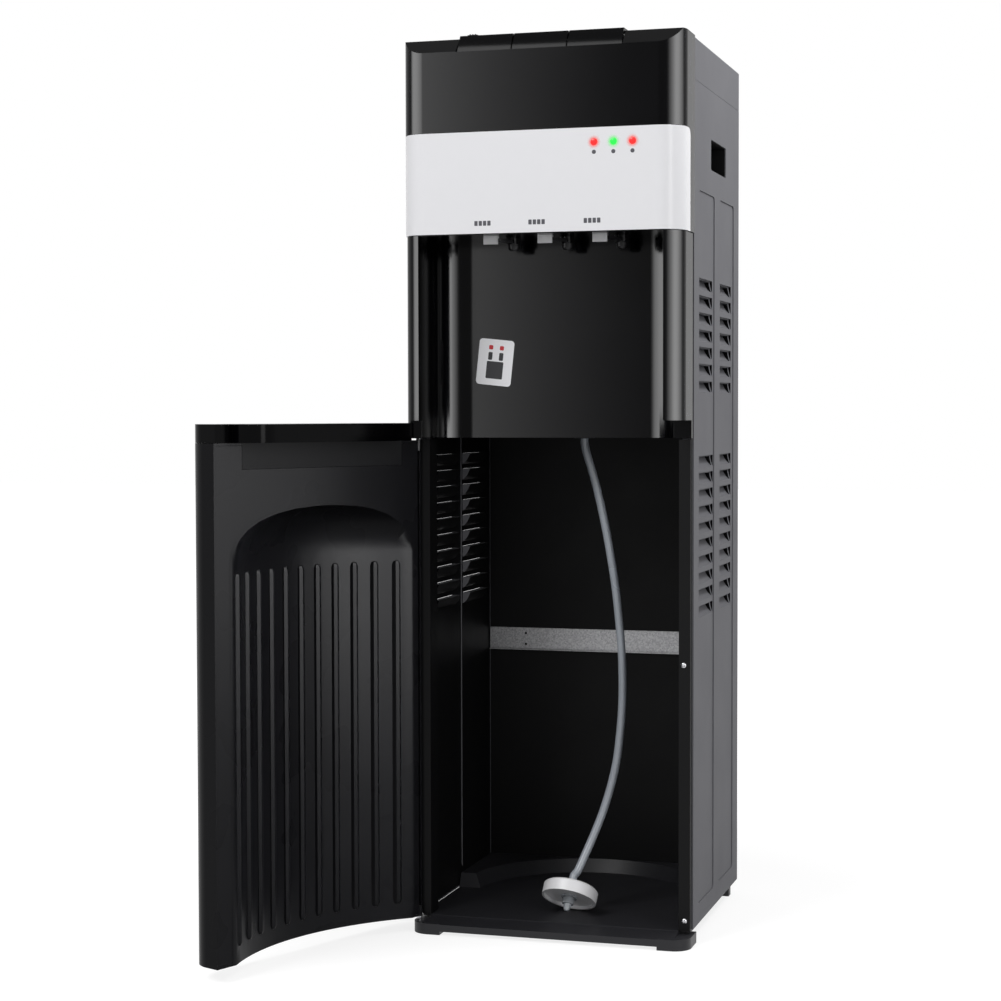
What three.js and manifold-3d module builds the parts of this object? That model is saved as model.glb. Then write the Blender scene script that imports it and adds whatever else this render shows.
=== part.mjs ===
// Bottom load water cooler, shown with its door open and its bottle hose hanging free.
// Millimetres, +Z up, +Y to the rear. The origin is on the floor, at the middle of the side panels.
import * as THREE from 'three';
import Module from 'manifold-3d';
import { mergeVertices } from 'three/addons/utils/BufferGeometryUtils.js';

const wasm = await Module();
wasm.setup();

// ---------------------------------------------------------------- driving dimensions
const SIDE_X = 161;             // half width over the side panels
const DEPTH_HALF = 138;         // side panels run from -DEPTH_HALF to +DEPTH_HALF
const HEIGHT = 1015;            // floor to the top cover
const GAP = 0.3;                // gap between pieces that touch
const SHEET = 1.2;              // steel sheet
const WALL = 2.5;               // moulded wall
const PANEL_BOTTOM = 17;        // lower edge of the side panels
const COVER_HIGH = 47.5;        // height of the top cover
const COVER_SEAM = HEIGHT - COVER_HIGH;
const PRESS = 1.2;              // depth of the pressed fields in the side panels

const FRONT_Y = -205;           // front face of the upper front
const FRONT_R = 28;             // vertical corner radius of the upper front
const CAP_HALF = 161.8;         // half width of the glossy cap and of the white panel
const NICHE_HALF = 160.3;       // half width of the niche cover
const CAP_HIGH = 105.6;         // height of the glossy cap
const CAP_SEAM = HEIGHT - CAP_HIGH;
const PANEL_HIGH = 112.7;       // height of the white panel under the cap
const PANEL_SEAM = CAP_SEAM - PANEL_HIGH;
const NICHE_BOTTOM = 569.5;     // lower edge of the niche cover
const WRAP_Y = -162.7;          // where the white panel ends on the sides
const WRAP_R = 9;               // its rounded upper rear corner
const BEVEL_DROP = 16;          // height and depth of the sloping top edge of the cap

const MOUTH_HALF = 140;         // half width of the niche between its pillars
const NICHE_BACK = -110;        // back wall of the niche
const NICHE_R = 35;             // vertical corner radius at its back
const CEILING_DROP = 0.5;       // underside of its ceiling below the white panel's edge
const NICHE_CEILING = PANEL_SEAM - CEILING_DROP;
const CEILING_TOP = NICHE_CEILING + WALL;

const KEY_PITCH = 63;           // key centre to key centre, and tap to tap
const KEY_SLIT = 1.5;           // slit between two keys
const KEY_RISE = 3;             // top of the keys over the top cover
const KEY_TOP = HEIGHT + KEY_RISE;
const KEY_PIVOT_Y = -152;       // rod that the keys turn on
const KEY_PIVOT_Z = KEY_TOP - 12;
const ROD_R = 2;                // radius of that rod
const PUSH_Y = -177;            // plane of the push rods and their tabs
const TAB_WIDTH = 16.5;         // white tab at the foot of a push rod
const TAB_BOTTOM = NICHE_CEILING - 9.2;
const NOZZLE_DX = 17;           // nozzle beside its tab
const NOZZLE_Y = -140;
const NOZZLE_R = 7;

const DOOR_OPEN = 113.3;        // opening angle of the door as modelled, degrees
const DOOR_HALF = 160.5;        // half width of the door
const DOOR_INNER = -150;        // inner plane of the closed door
const DOOR_THICK = 46;
const DOOR_R = 29;              // vertical outer corner radius
const DOOR_BOTTOM = 16;
const DOOR_TOP = 567;
const LEDGE_LOW = DOOR_TOP + GAP;   // shelf on the door top, which carries the drip tray
const PIVOT_X = -158.5;         // hinge pins
const PIVOT_Y = -152.5;
const PIN_R = 2;
const KNUCKLE_R = 3.6;
const RECESS_LEFT = -143.5;     // bottle recess in the door, left and right edges
const RECESS_RIGHT = 133.5;
const RECESS_DEPTH = 37;
const ARCH_SPRING = 441;        // the recess ends in a domed arch at its top
const ARCH_TOP = 497.5;
const ARCH_POWER = 2.3;         // 2 is an ellipse, more gives squarer shoulders
const RIB_COUNT = 11;
const RIB_PITCH = 25.2;
const RIB_MID = -2;             // X of the middle rib on the closed door
const RIB_WIDTH = 10.5;
const RIB_RISE = 3.8;           // height of a rib over the recess wall
const RIB_LOW = 33;
const RIB_HIGH = 431;
const LEDGE_HIGH = 587;
const LEDGE_END = -113.5;       // its end on the hinge side
const LEDGE_FREE = 158.5;       // its end on the free side
const LEDGE_LIP = -118;         // its inner edge, inside the niche when the door is shut
const LEDGE_R = 32;
const HOUSING_LOW = 539.3;      // lower edge of the tray housing under the shelf
const NOTCH_TOP = 589.5;        // the pillars are cut away below this for the shelf

const FLOOR = 17;               // floor that the bottle stands on
const BASE_FRONT = -175;
const BASE_HALF = 162.6;
const BASE_R = 20;
const APRON_TOP = 12;           // front lip of the base between its feet
const APRON_BOTTOM = 4;
const SEAT_R = 140;             // round seat for the bottle
const SEAT_Y = -5;
const SEAT_TOP = 33;
const SEAT_SLOPE = 8;           // its riser leans back by this much
const REAR_FOOT = [112.5, 124.5];   // rear feet, front and back

const STRIP_IN = 146;           // front frame strips
const STRIP_OUT = 159.2;
const STRIP_FRONT = -147;
const DECK = 573;               // underside of the deck over the bottle compartment
const SHELF = 752;              // underside of the tank shelf
const BACK_Y = 135.3;           // inner face of the rear panels
const BRACE_LOW = 296.5;        // galvanised cross brace inside the compartment
const BRACE_HIGH = 324.5;

const HOSE_R = 4.75;
const HOSE_SIDES = 10;
const CAP_R = 32;               // bottle cap on the hose
const CAP_HEIGHT = 15;
const CAP_AXIS = new THREE.Vector3(0.068, 0.549, 0.833).normalize();
const CAP_CENTRE = new THREE.Vector3(8.5, -107.3, 35.2);    // centre of its open underside
const SPIKE_LENGTH = 13.5;

// ---------------------------------------------------------------- finishes
const finish = (color, roughness, metalness = 0) => () =>
  new THREE.MeshStandardMaterial({ color, roughness, metalness });
const glossBlack = finish(0x0b0b0c, 0.12);
const satinBlack = finish(0x141416, 0.45);
const paintedSteel = finish(0x4a4a50, 0.5, 0.2);
const white = finish(0xe6e6ea, 0.25);
const galvanised = finish(0x9b9b9b, 0.45, 0.8);
const steel = finish(0xb8b8b8, 0.3, 0.9);
const copper = finish(0xa86838, 0.35, 0.9);
const clearHose = finish(0xb9c0c6, 0.3);
const rubber = finish(0x1c1c1c, 0.8);
const foam = finish(0xd8d4c8, 0.9);
const board = finish(0x1f5c33, 0.6);
const redLight = finish(0xe02020, 0.3);
const greenLight = finish(0x20c040, 0.3);

// ---------------------------------------------------------------- solids
function solidOf(geometry) {
  geometry.deleteAttribute('normal');
  geometry.deleteAttribute('uv');
  const merged = mergeVertices(geometry, 1e-4);
  const vertProperties = new Float32Array(merged.attributes.position.array);
  const triVerts = new Uint32Array(merged.index.array);
  return new wasm.Manifold(new wasm.Mesh({ numProp: 3, vertProperties, triVerts }));
}

function geometryOf(solid) {
  const data = solid.getMesh();
  const geometry = new THREE.BufferGeometry();
  geometry.setAttribute('position', new THREE.BufferAttribute(new Float32Array(data.vertProperties), 3));
  geometry.setIndex(new THREE.BufferAttribute(new Uint32Array(data.triVerts), 1));
  geometry.computeVertexNormals();
  return geometry;
}

const sorted = (a, b) => (a < b ? [a, b] : [b, a]);
const join = (...solids) => solids.reduce((all, next) => all.add(next));
const cut = (solid, ...tools) => tools.reduce((rest, tool) => rest.subtract(tool), solid);

function block(x, y, z) {
  const [x0, x1] = sorted(...x);
  const [y0, y1] = sorted(...y);
  const [z0, z1] = sorted(...z);
  const geometry = new THREE.BoxGeometry(x1 - x0, y1 - y0, z1 - z0);
  geometry.translate((x0 + x1) / 2, (y0 + y1) / 2, (z0 + z1) / 2);
  return solidOf(geometry);
}

// An outline drawn in (X, Y) and raised from z0 to z1.
function raised(shape, z0, z1, curveSegments = 6) {
  const geometry = new THREE.ExtrudeGeometry(shape, { depth: z1 - z0, bevelEnabled: false, curveSegments });
  geometry.translate(0, 0, z0);
  return solidOf(geometry);
}

// An outline drawn in (Y, Z) and run from x0 to x1.
function runX(shape, a, b, curveSegments = 6) {
  const [x0, x1] = sorted(a, b);
  const geometry = new THREE.ExtrudeGeometry(shape, { depth: x1 - x0, bevelEnabled: false, curveSegments });
  const turn = new THREE.Matrix4().makeBasis(
    new THREE.Vector3(0, 1, 0), new THREE.Vector3(0, 0, 1), new THREE.Vector3(1, 0, 0));
  geometry.applyMatrix4(turn);
  geometry.translate(x0, 0, 0);
  return solidOf(geometry);
}

// An outline drawn in (X, Z) and run from y0 to y1.
function runY(shape, a, b, curveSegments = 6) {
  const [y0, y1] = sorted(a, b);
  const geometry = new THREE.ExtrudeGeometry(shape, { depth: y1 - y0, bevelEnabled: false, curveSegments });
  const turn = new THREE.Matrix4().makeBasis(
    new THREE.Vector3(1, 0, 0), new THREE.Vector3(0, 0, 1), new THREE.Vector3(0, -1, 0));
  geometry.applyMatrix4(turn);
  geometry.translate(0, y1, 0);
  return solidOf(geometry);
}

function round(axis, at, radius, length, sides = 20) {
  const geometry = new THREE.CylinderGeometry(radius, radius, length, sides);
  if (axis === 'z') geometry.rotateX(Math.PI / 2);
  if (axis === 'x') geometry.rotateZ(Math.PI / 2);
  geometry.translate(...at);
  return solidOf(geometry);
}

// A turned piece: radius and height pairs that start and end on the axis, from at[2] up.
function turned(at, profile, sides = 24) {
  const points = profile.map(([r, z]) => new THREE.Vector2(r, z));
  const geometry = new THREE.LatheGeometry(points, sides);
  geometry.rotateX(Math.PI / 2);
  geometry.translate(...at);
  return solidOf(geometry);
}

function tube(points, radius, sides = 8, steps = 24) {
  const path = new THREE.CatmullRomCurve3(points.map((p) => new THREE.Vector3(...p)), false, 'centripetal');
  const section = new THREE.Shape();
  for (let i = 0; i < sides; i += 1) {
    const angle = (i / sides) * 2 * Math.PI;
    const x = radius * Math.cos(angle);
    const y = radius * Math.sin(angle);
    if (i === 0) section.moveTo(x, y);
    else section.lineTo(x, y);
  }
  section.closePath();
  return solidOf(new THREE.ExtrudeGeometry(section, { steps, extrudePath: path, bevelEnabled: false }));
}

// ---------------------------------------------------------------- outlines
function polygon(points) {
  const shape = new THREE.Shape();
  points.forEach(([x, y], i) => (i === 0 ? shape.moveTo(x, y) : shape.lineTo(x, y)));
  shape.closePath();
  return shape;
}

function roundedBox(x0, x1, y0, y1, r) {
  const shape = new THREE.Shape();
  shape.moveTo(x0 + r, y0);
  shape.lineTo(x1 - r, y0);
  shape.absarc(x1 - r, y0 + r, r, -Math.PI / 2, 0);
  shape.lineTo(x1, y1 - r);
  shape.absarc(x1 - r, y1 - r, r, 0, Math.PI / 2);
  shape.lineTo(x0 + r, y1);
  shape.absarc(x0 + r, y1 - r, r, Math.PI / 2, Math.PI);
  shape.lineTo(x0, y0 + r);
  shape.absarc(x0 + r, y0 + r, r, Math.PI, 1.5 * Math.PI);
  return shape;
}

// Plan of a front cover: square at the back, rounded at its two front corners.
function frontPlan(half, front, back, r) {
  const shape = new THREE.Shape();
  shape.moveTo(-half + r, front);
  shape.lineTo(half - r, front);
  shape.absarc(half - r, front + r, r, -Math.PI / 2, 0);
  shape.lineTo(half, back);
  shape.lineTo(-half, back);
  shape.lineTo(-half, front + r);
  shape.absarc(-half + r, front + r, r, Math.PI, 1.5 * Math.PI);
  return shape;
}

// Plan of the niche: open at the front, rounded at its two back corners.
function nichePlan(half, front, back, r) {
  const shape = new THREE.Shape();
  shape.moveTo(-half, front);
  shape.lineTo(half, front);
  shape.lineTo(half, back - r);
  shape.absarc(half - r, back - r, r, 0, Math.PI / 2);
  shape.lineTo(-half + r, back);
  shape.absarc(-half + r, back - r, r, Math.PI / 2, Math.PI);
  return shape;
}

// ---------------------------------------------------------------- assembly helper
const cooler = new THREE.Group();
const door = new THREE.Group();         // drawn shut and turned about its pins to stand open
door.position.set(PIVOT_X, PIVOT_Y, 0);
door.rotation.z = THREE.MathUtils.degToRad(-DOOR_OPEN);
cooler.add(door);

function place(name, solid, material, parent = cooler) {
  const mesh = new THREE.Mesh(geometryOf(solid), material());
  mesh.name = name;
  if (parent === door) mesh.position.set(-PIVOT_X, -PIVOT_Y, 0);
  parent.add(mesh);
}

// ---------------------------------------------------------------- base
function baseTray() {
  const plate = raised(frontPlan(BASE_HALF, BASE_FRONT, -DEPTH_HALF - GAP, BASE_R), APRON_BOTTOM, APRON_TOP);
  const ramp = polygon([[BASE_FRONT + 3, APRON_TOP], [-DEPTH_HALF, APRON_TOP - 3],
    [-DEPTH_HALF, FLOOR], [DOOR_INNER + 4, FLOOR], [DOOR_INNER + 1, DOOR_BOTTOM - 1]]);
  const inner = SIDE_X - SHEET - PRESS - GAP;
  const floorPlate = block([-inner, inner], [-DEPTH_HALF - 1, BACK_Y - GAP], [FLOOR - 3.4, FLOOR]);
  const stepBlock = runX(polygon([[0, FLOOR], [SEAT_SLOPE, SEAT_TOP], [BACK_Y - GAP, SEAT_TOP],
    [BACK_Y - GAP, FLOOR - 1], [0, FLOOR - 1]]), -inner, inner);
  const seatCut = turned([0, SEAT_Y, 0], [[0, FLOOR], [SEAT_R - SEAT_SLOPE, FLOOR], [SEAT_R, SEAT_TOP],
    [SEAT_R, SEAT_TOP + 1], [0, SEAT_TOP + 1]], 40);
  const step = cut(stepBlock, seatCut);
  const feet = [-1, 1].map((side) => {
    const outline = frontPlan(BASE_HALF, BASE_FRONT, -127, BASE_R);
    const corner = raised(outline, 0, APRON_TOP + 0.5);
    const keep = block([side * 127, side * (BASE_HALF + 1)], [BASE_FRONT - 1, -126], [-1, APRON_TOP + 1]);
    const underPanel = block([side * (inner - 1), side * (BASE_HALF + 1)],
      [-DEPTH_HALF - GAP, -126], [PANEL_BOTTOM - 4.5, FLOOR + 9]);
    return cut(corner.intersect(keep), underPanel);
  });
  const rearFeet = [-1, 1].map((side) => block([side * 132, side * (inner - 3)], REAR_FOOT, [0, FLOOR - 2]));
  const pad = turned([0, 0, 0], [[0, 0], [30, 0], [33, FLOOR - 3], [0, FLOOR - 3]], 24);
  const webs = [-1, 1].map((side) => block([side * 60, side * 63], [-130, 125], [6, FLOOR - 3]));
  const pinBore = round('z', [PIVOT_X, PIVOT_Y, 8], PIN_R + GAP, 20);
  const clearOfStrips = STRIP_IN - GAP;
  const body = join(plate, runX(ramp, -clearOfStrips, clearOfStrips), floorPlate, step, ...feet, ...rearFeet,
    pad, ...webs);
  return cut(body, pinBore);
}
place('base', baseTray(), satinBlack);

// ---------------------------------------------------------------- side panels
const FIELDS = [[-109, -18], [15.5, 104.5]];
const FIELD_LOW = 39.5;
const FIELD_HIGH = COVER_SEAM - 119.8;
const LOUVRES = [
  { columns: [[-112 + 6, -27], [8.6 + 10, 92]], top: COVER_SEAM - 217.7, pitch: 19.34, count: 7 },
  { columns: [[-107 + 2, -21.6], [14 + 5, 92.6]], top: COVER_SEAM - 418.7, pitch: 18.96, count: 10 },
];
const LOUVRE_HEIGHT = 13;
const LOUVRE_DEPTH = 10;
const LOUVRE_SLIT = 1;          // air slit between a louvre's free edge and the sheet
const HANDLE = { y0: -40.5, y1: 51.5, z0: COVER_SEAM - 90.5, z1: COVER_SEAM - 55.5, depth: 26 };

// One louvre: a scoop pressed inward, deepest at its top, where its free edge leaves a slit.
function scoop(side, outer, inner, low, high, rest) {
  const bulge = 0.55 * (outer - inner);
  const shape = new THREE.Shape();
  shape.moveTo(side * outer, low);
  shape.quadraticCurveTo(side * (outer - bulge), low + 0.1 * (high - low), side * inner, high);
  rest.forEach(([x, z]) => shape.lineTo(side * x, z));
  shape.closePath();
  return shape;
}

function louvre(side, y0, y1, top) {
  const face = SIDE_X - PRESS;
  const sheetBack = face - SHEET;
  const low = top - LOUVRE_HEIGHT;
  const back = face - LOUVRE_DEPTH;
  const free = sheetBack - LOUVRE_SLIT;
  const roof = top - SHEET;
  const outer = scoop(side, face - 0.2, back - SHEET, low - SHEET, top, [[face - 0.2, top]]);
  const inner = scoop(side, face, back, low, roof, [[free, roof], [free, top + 1], [sheetBack - 0.1, top + 1],
    [sheetBack - 0.1, top], [face + 4, top], [face + 4, low]]);
  return {
    shell: runY(outer, y0 - SHEET, y1 + SHEET, 3),
    pocket: runY(inner, y0, y1, 4),
  };
}

function sidePanel(side) {
  const out = side * SIDE_X;
  const mid = side * (SIDE_X - PRESS);
  const inn = side * (SIDE_X - PRESS - SHEET);
  const top = COVER_SEAM - GAP;
  const [front, back] = [-DEPTH_HALF, DEPTH_HALF];
  const rim = SHEET;
  let panel = block([out, inn], [front, back], [PANEL_BOTTOM, top]);
  FIELDS.forEach(([y0, y1]) => {
    panel = cut(panel, runX(roundedBox(y0, y1, FIELD_LOW, FIELD_HIGH, 5), mid, side * (SIDE_X + 1), 4));
  });
  let hollow = block([mid, side * (SIDE_X - PRESS - SHEET - 1)], [front + rim, back - rim],
    [PANEL_BOTTOM + rim, top - rim]);
  FIELDS.forEach(([y0, y1]) => {
    const grown = roundedBox(y0 - SHEET, y1 + SHEET, FIELD_LOW - SHEET, FIELD_HIGH + SHEET, 6);
    hollow = cut(hollow, runX(grown, out, side * (SIDE_X - 6), 4));
  });
  panel = cut(panel, hollow);
  const shells = [];
  const pockets = [];
  LOUVRES.forEach(({ columns, top: first, pitch, count }) => {
    for (let row = 0; row < count; row += 1) {
      columns.forEach(([y0, y1]) => {
        const { shell, pocket } = louvre(side, y0, y1, first - row * pitch);
        shells.push(shell);
        pockets.push(pocket);
      });
    }
  });
  panel = cut(join(panel, ...shells), ...pockets);
  const handle = roundedBox(HANDLE.y0, HANDLE.y1, HANDLE.z0, HANDLE.z1, 3);
  panel = cut(panel, runX(handle, side * (SIDE_X + 1), side * (SIDE_X - 6), 3));
  const frontFold = block([inn, side * 148], [front, front + SHEET], [PANEL_BOTTOM + 1, top - 1]);
  const backFold = block([inn, side * 146], [back - SHEET, back], [PANEL_BOTTOM + 1, top - 1]);
  const reach = [side * (SIDE_X - 0.5), inn];
  return join(panel, frontFold, backFold,
    block(reach, [front, front + SHEET], [PANEL_BOTTOM + 1, top - 1]),
    block(reach, [back - SHEET, back], [PANEL_BOTTOM + 1, top - 1]));
}
place('side_panel_right', sidePanel(1), paintedSteel);
place('side_panel_left', sidePanel(-1), paintedSteel);

// A recessed grip behind the cut-out in each side panel.
function handleCup(side) {
  const lipX = side * (SIDE_X - PRESS - GAP);
  const inX = side * (SIDE_X - HANDLE.depth);
  const y = [HANDLE.y0, HANDLE.y1];
  const z = [HANDLE.z0, HANDLE.z1];
  const flange = block([lipX, side * (SIDE_X - PRESS - GAP - 2)], [y[0] - 5, y[1] + 5], [z[0] - 5, z[1] + 5]);
  const cup = block([lipX, inX], [y[0] - 2, y[1] + 2], [z[0] - 2, z[1] + 2]);
  const hole = runX(roundedBox(y[0] + 0.4, y[1] - 0.4, z[0] + 0.4, z[1] - 0.4, 3),
    side * (SIDE_X + 1), side * (SIDE_X - HANDLE.depth + 2), 3);
  return cut(join(flange, cup), hole);
}
place('handle_cup_right', handleCup(1), satinBlack);
place('handle_cup_left', handleCup(-1), satinBlack);

// ---------------------------------------------------------------- top cover
function topCover() {
  const edge = 2;
  const outline = polygon([[-SIDE_X, COVER_SEAM], [SIDE_X, COVER_SEAM], [SIDE_X, HEIGHT - edge],
    [SIDE_X - edge, HEIGHT], [-SIDE_X + edge, HEIGHT], [-SIDE_X, HEIGHT - edge]]);
  const shell = runY(outline, -DEPTH_HALF, DEPTH_HALF);
  const hollow = block([-SIDE_X + WALL, SIDE_X - WALL], [-DEPTH_HALF - 1, DEPTH_HALF - WALL],
    [COVER_SEAM - 1, HEIGHT - WALL]);
  return cut(shell, hollow);
}
place('top_cover', topCover(), paintedSteel);

// ---------------------------------------------------------------- upper front
// Profile in (Y, Z) of the zone that the white panel fills, grown by a clearance.
function panelZone(clear) {
  const back = WRAP_Y + clear;
  const top = CAP_SEAM + clear;
  const r = WRAP_R;
  const shape = new THREE.Shape();
  shape.moveTo(FRONT_Y - 10, PANEL_SEAM - 20);
  shape.lineTo(back, PANEL_SEAM - 20);
  shape.lineTo(back, top - r);
  shape.absarc(back - r, top - r, r, 0, Math.PI / 2);
  shape.lineTo(FRONT_Y - 10, top);
  return shape;
}

function frontShell(half, z0, z1, lidThickness) {
  const back = -DEPTH_HALF - GAP;
  const outer = raised(frontPlan(half, FRONT_Y, back, FRONT_R), z0, z1, 7);
  const inner = raised(frontPlan(half - WALL, FRONT_Y + WALL, back + 5, FRONT_R - WALL),
    z0 - 5, z1 - lidThickness, 8);
  return { outer, inner };
}

// Everything above the sloping top edge, moved inward by depth.
function bevelTool(depth) {
  const slope = BEVEL_DROP;
  const drop = depth * Math.SQRT2;
  return polygon([[FRONT_Y - 1, HEIGHT - slope - 1 - drop], [FRONT_Y + slope + 1 + drop, HEIGHT + 1],
    [FRONT_Y - 1, HEIGHT + 1]]);
}

function keyNotch() {
  const half = 1.5 * KEY_PITCH + 0.5;
  const opening = block([-half, half], [FRONT_Y - 5, KEY_PIVOT_Y + 3.5],
    [HEIGHT - BEVEL_DROP - 0.4, HEIGHT + 5]);
  const behindSkirt = block([-half, half], [FRONT_Y + WALL, KEY_PIVOT_Y], [HEIGHT - 30, HEIGHT]);
  return opening.add(behindSkirt);
}

function frontCap() {
  const { outer, inner } = frontShell(CAP_HALF, PANEL_SEAM + GAP, HEIGHT, WALL);
  const wide = CAP_HALF + 1;
  const shell = cut(outer.subtract(runX(bevelTool(0), -wide, wide)),
    inner.subtract(runX(bevelTool(WALL), -wide, wide)));
  const upper = cut(shell, runX(panelZone(GAP), -wide, wide, 5), keyNotch());
  const earX = 1.5 * KEY_PITCH + 2;
  const ears = [-1, 1].map((side) => cut(
    block([side * earX, side * (earX + 4)], [KEY_PIVOT_Y - 5, KEY_PIVOT_Y + 5], [KEY_PIVOT_Z - 5, HEIGHT - 1]),
    round('x', [side * earX, KEY_PIVOT_Y, KEY_PIVOT_Z], ROD_R + GAP, 20, 16)));
  return join(upper, ...ears);
}
place('front_cap', frontCap(), glossBlack);

const LED_X = [63.1, 84.9, 106.3];
const LED_Z = CAP_SEAM - 16;
const LED_R = 3.7;

function controlPanel() {
  const { outer, inner } = frontShell(CAP_HALF, PANEL_SEAM + GAP, CAP_SEAM, 0);
  const wide = CAP_HALF + 1;
  const zone = runX(panelZone(0), -wide, wide, 5);
  const holes = LED_X.map((x) => round('y', [x, FRONT_Y, LED_Z], LED_R + GAP, 20, 16));
  return cut(outer.subtract(inner.add(inner.translate([0, 0, 10]))).intersect(zone), ...holes);
}
place('control_panel', controlPanel(), white);

// ---------------------------------------------------------------- indicator lights
function ledLens(x) {
  const lens = turned([0, 0, 0], [[0, -0.6], [LED_R * 0.6, -0.4], [LED_R, 0], [LED_R, WALL + GAP],
    [LED_R + 1, WALL + GAP], [LED_R + 1, 5], [0, 5]], 12);
  return lens.rotate([-90, 0, 0]).translate([x, FRONT_Y, LED_Z]);
}
place('led_heating', ledLens(LED_X[0]), redLight);
place('led_power', ledLens(LED_X[1]), greenLight);
place('led_cooling', ledLens(LED_X[2]), redLight);

function indicatorBoard() {
  const x = [LED_X[0] - 18, LED_X[2] + 18];
  const plate = block(x, [FRONT_Y + 5.2, FRONT_Y + 6.8], [LED_Z - 14, LED_Z + 12]);
  const posts = [x[0] + 4, x[1] - 4].map((px) =>
    block([px - 2, px + 2], [FRONT_Y + WALL + GAP, FRONT_Y + 5.4], [LED_Z - 3, LED_Z + 3]));
  return join(plate, ...posts);
}
place('indicator_board', indicatorBoard(), board);

// ---------------------------------------------------------------- niche cover
const NICHE_WALL_BACK = NICHE_BACK + WALL;
const CEILING_FRONT = FRONT_Y + 2 * WALL;    // its ceiling starts behind the white panel

function tapSlots(clear) {
  return [-1, 0, 1].map((i) => {
    const x = i * KEY_PITCH;
    return block([x - TAB_WIDTH / 2 - clear, x + TAB_WIDTH / 2 + clear],
      [PUSH_Y - 2 - clear, PUSH_Y + 5 + clear], [NICHE_CEILING - 2, CEILING_TOP + 2]);
  });
}

function nicheCover() {
  const top = PANEL_SEAM - GAP;
  const back = -DEPTH_HALF - GAP;
  const pillars = raised(frontPlan(NICHE_HALF, FRONT_Y, back, FRONT_R), NICHE_BOTTOM, top, 8);
  const wallOuter = raised(nichePlan(MOUTH_HALF + WALL, back - 20, NICHE_WALL_BACK, NICHE_R + WALL),
    NICHE_BOTTOM, top, 8);
  const mouth = raised(nichePlan(MOUTH_HALF, FRONT_Y - 5, NICHE_BACK, NICHE_R), NICHE_BOTTOM - 5,
    NICHE_CEILING, 8);
  const ceiling = raised(nichePlan(MOUTH_HALF + WALL, CEILING_FRONT, NICHE_WALL_BACK, NICHE_R + WALL),
    NICHE_CEILING, CEILING_TOP, 8);
  const cores = [-1, 1].map((side) =>
    block([side * (MOUTH_HALF + WALL), side * (NICHE_HALF - WALL)], [FRONT_Y + 8, back + 5],
      [NOTCH_TOP + 8, top + 5]).intersect(
      raised(frontPlan(NICHE_HALF - WALL, FRONT_Y + WALL, back + 6, FRONT_R - WALL), NOTCH_TOP, top + 6, 8)));
  const swing = turned([PIVOT_X, PIVOT_Y, 0], [[0, NICHE_BOTTOM - 5], [44.4, NICHE_BOTTOM - 5],
    [44.4, NOTCH_TOP + 5], [0, NOTCH_TOP + 5]], 48);
  const leftNick = block([-MOUTH_HALF + 1, -NICHE_HALF - 1], [FRONT_Y - 5, PIVOT_Y],
    [NICHE_BOTTOM - 5, NOTCH_TOP]).subtract(swing);
  const rightNick = block([MOUTH_HALF - 1, NICHE_HALF + 1], [FRONT_Y - 5, DOOR_INNER + 2.4],
    [NICHE_BOTTOM - 5, NOTCH_TOP]);
  const pinBore = round('z', [PIVOT_X + 0, PIVOT_Y, NICHE_BOTTOM], PIN_R + GAP, 34, 16);
  const nozzles = [-1, 0, 1].map((i) =>
    round('z', [i * KEY_PITCH + NOZZLE_DX, NOZZLE_Y, NICHE_CEILING], NOZZLE_R + GAP, 20));
  const frontEdge = block([-MOUTH_HALF, MOUTH_HALF], [FRONT_Y - 5, CEILING_FRONT], [NICHE_CEILING - 1, top + 5]);
  return cut(join(pillars, wallOuter, ceiling), mouth, frontEdge, ...cores, leftNick, rightNick, pinBore,
    ...tapSlots(0.8), ...nozzles);
}
place('niche_cover', nicheCover(), glossBlack);

// ---------------------------------------------------------------- chassis behind the upper front
const CHASSIS_LOW = PANEL_SEAM + 35.3;
const GUIDE_Z = CHASSIS_LOW + 4;
function frontChassis() {
  const half = SIDE_X - PRESS - SHEET - GAP;
  const plate = block([-half, half], [-DEPTH_HALF + SHEET + GAP, -DEPTH_HALF + SHEET + GAP + 2],
    [CHASSIS_LOW, COVER_SEAM - 4]);
  const rail = block([-KEY_PITCH - 20, KEY_PITCH + 20], [PUSH_Y - 8, -DEPTH_HALF + SHEET + GAP + 1],
    [GUIDE_Z, GUIDE_Z + 2.5]);
  const slots = [-1, 0, 1].map((i) => block([i * KEY_PITCH - 3.5, i * KEY_PITCH + 3.5],
    [PUSH_Y - 2, PUSH_Y + 2], [GUIDE_Z - 5, GUIDE_Z + 10]));
  return cut(join(plate, rail), ...slots);
}
place('front_chassis', frontChassis(), satinBlack);

// ---------------------------------------------------------------- keys, push rods and taps
const KEY_NAMES = ['hot', 'warm', 'cold'];
const KEY_HALF = (KEY_PITCH - KEY_SLIT) / 2;
const SKIRT_Y = FRONT_Y + WALL + GAP;
const SKIRT_TOP = KEY_TOP - 17.4;
const SKIRT_LOW = KEY_TOP - 30;
const KEY_EDGE_Y = -191.5;
const KEY_WALL = 2.6;
const PUSH_TOP = KEY_TOP - 26;
const LOCK = { x: -KEY_PITCH - 19, y: -178, half: 6, travel: 7 };

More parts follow.
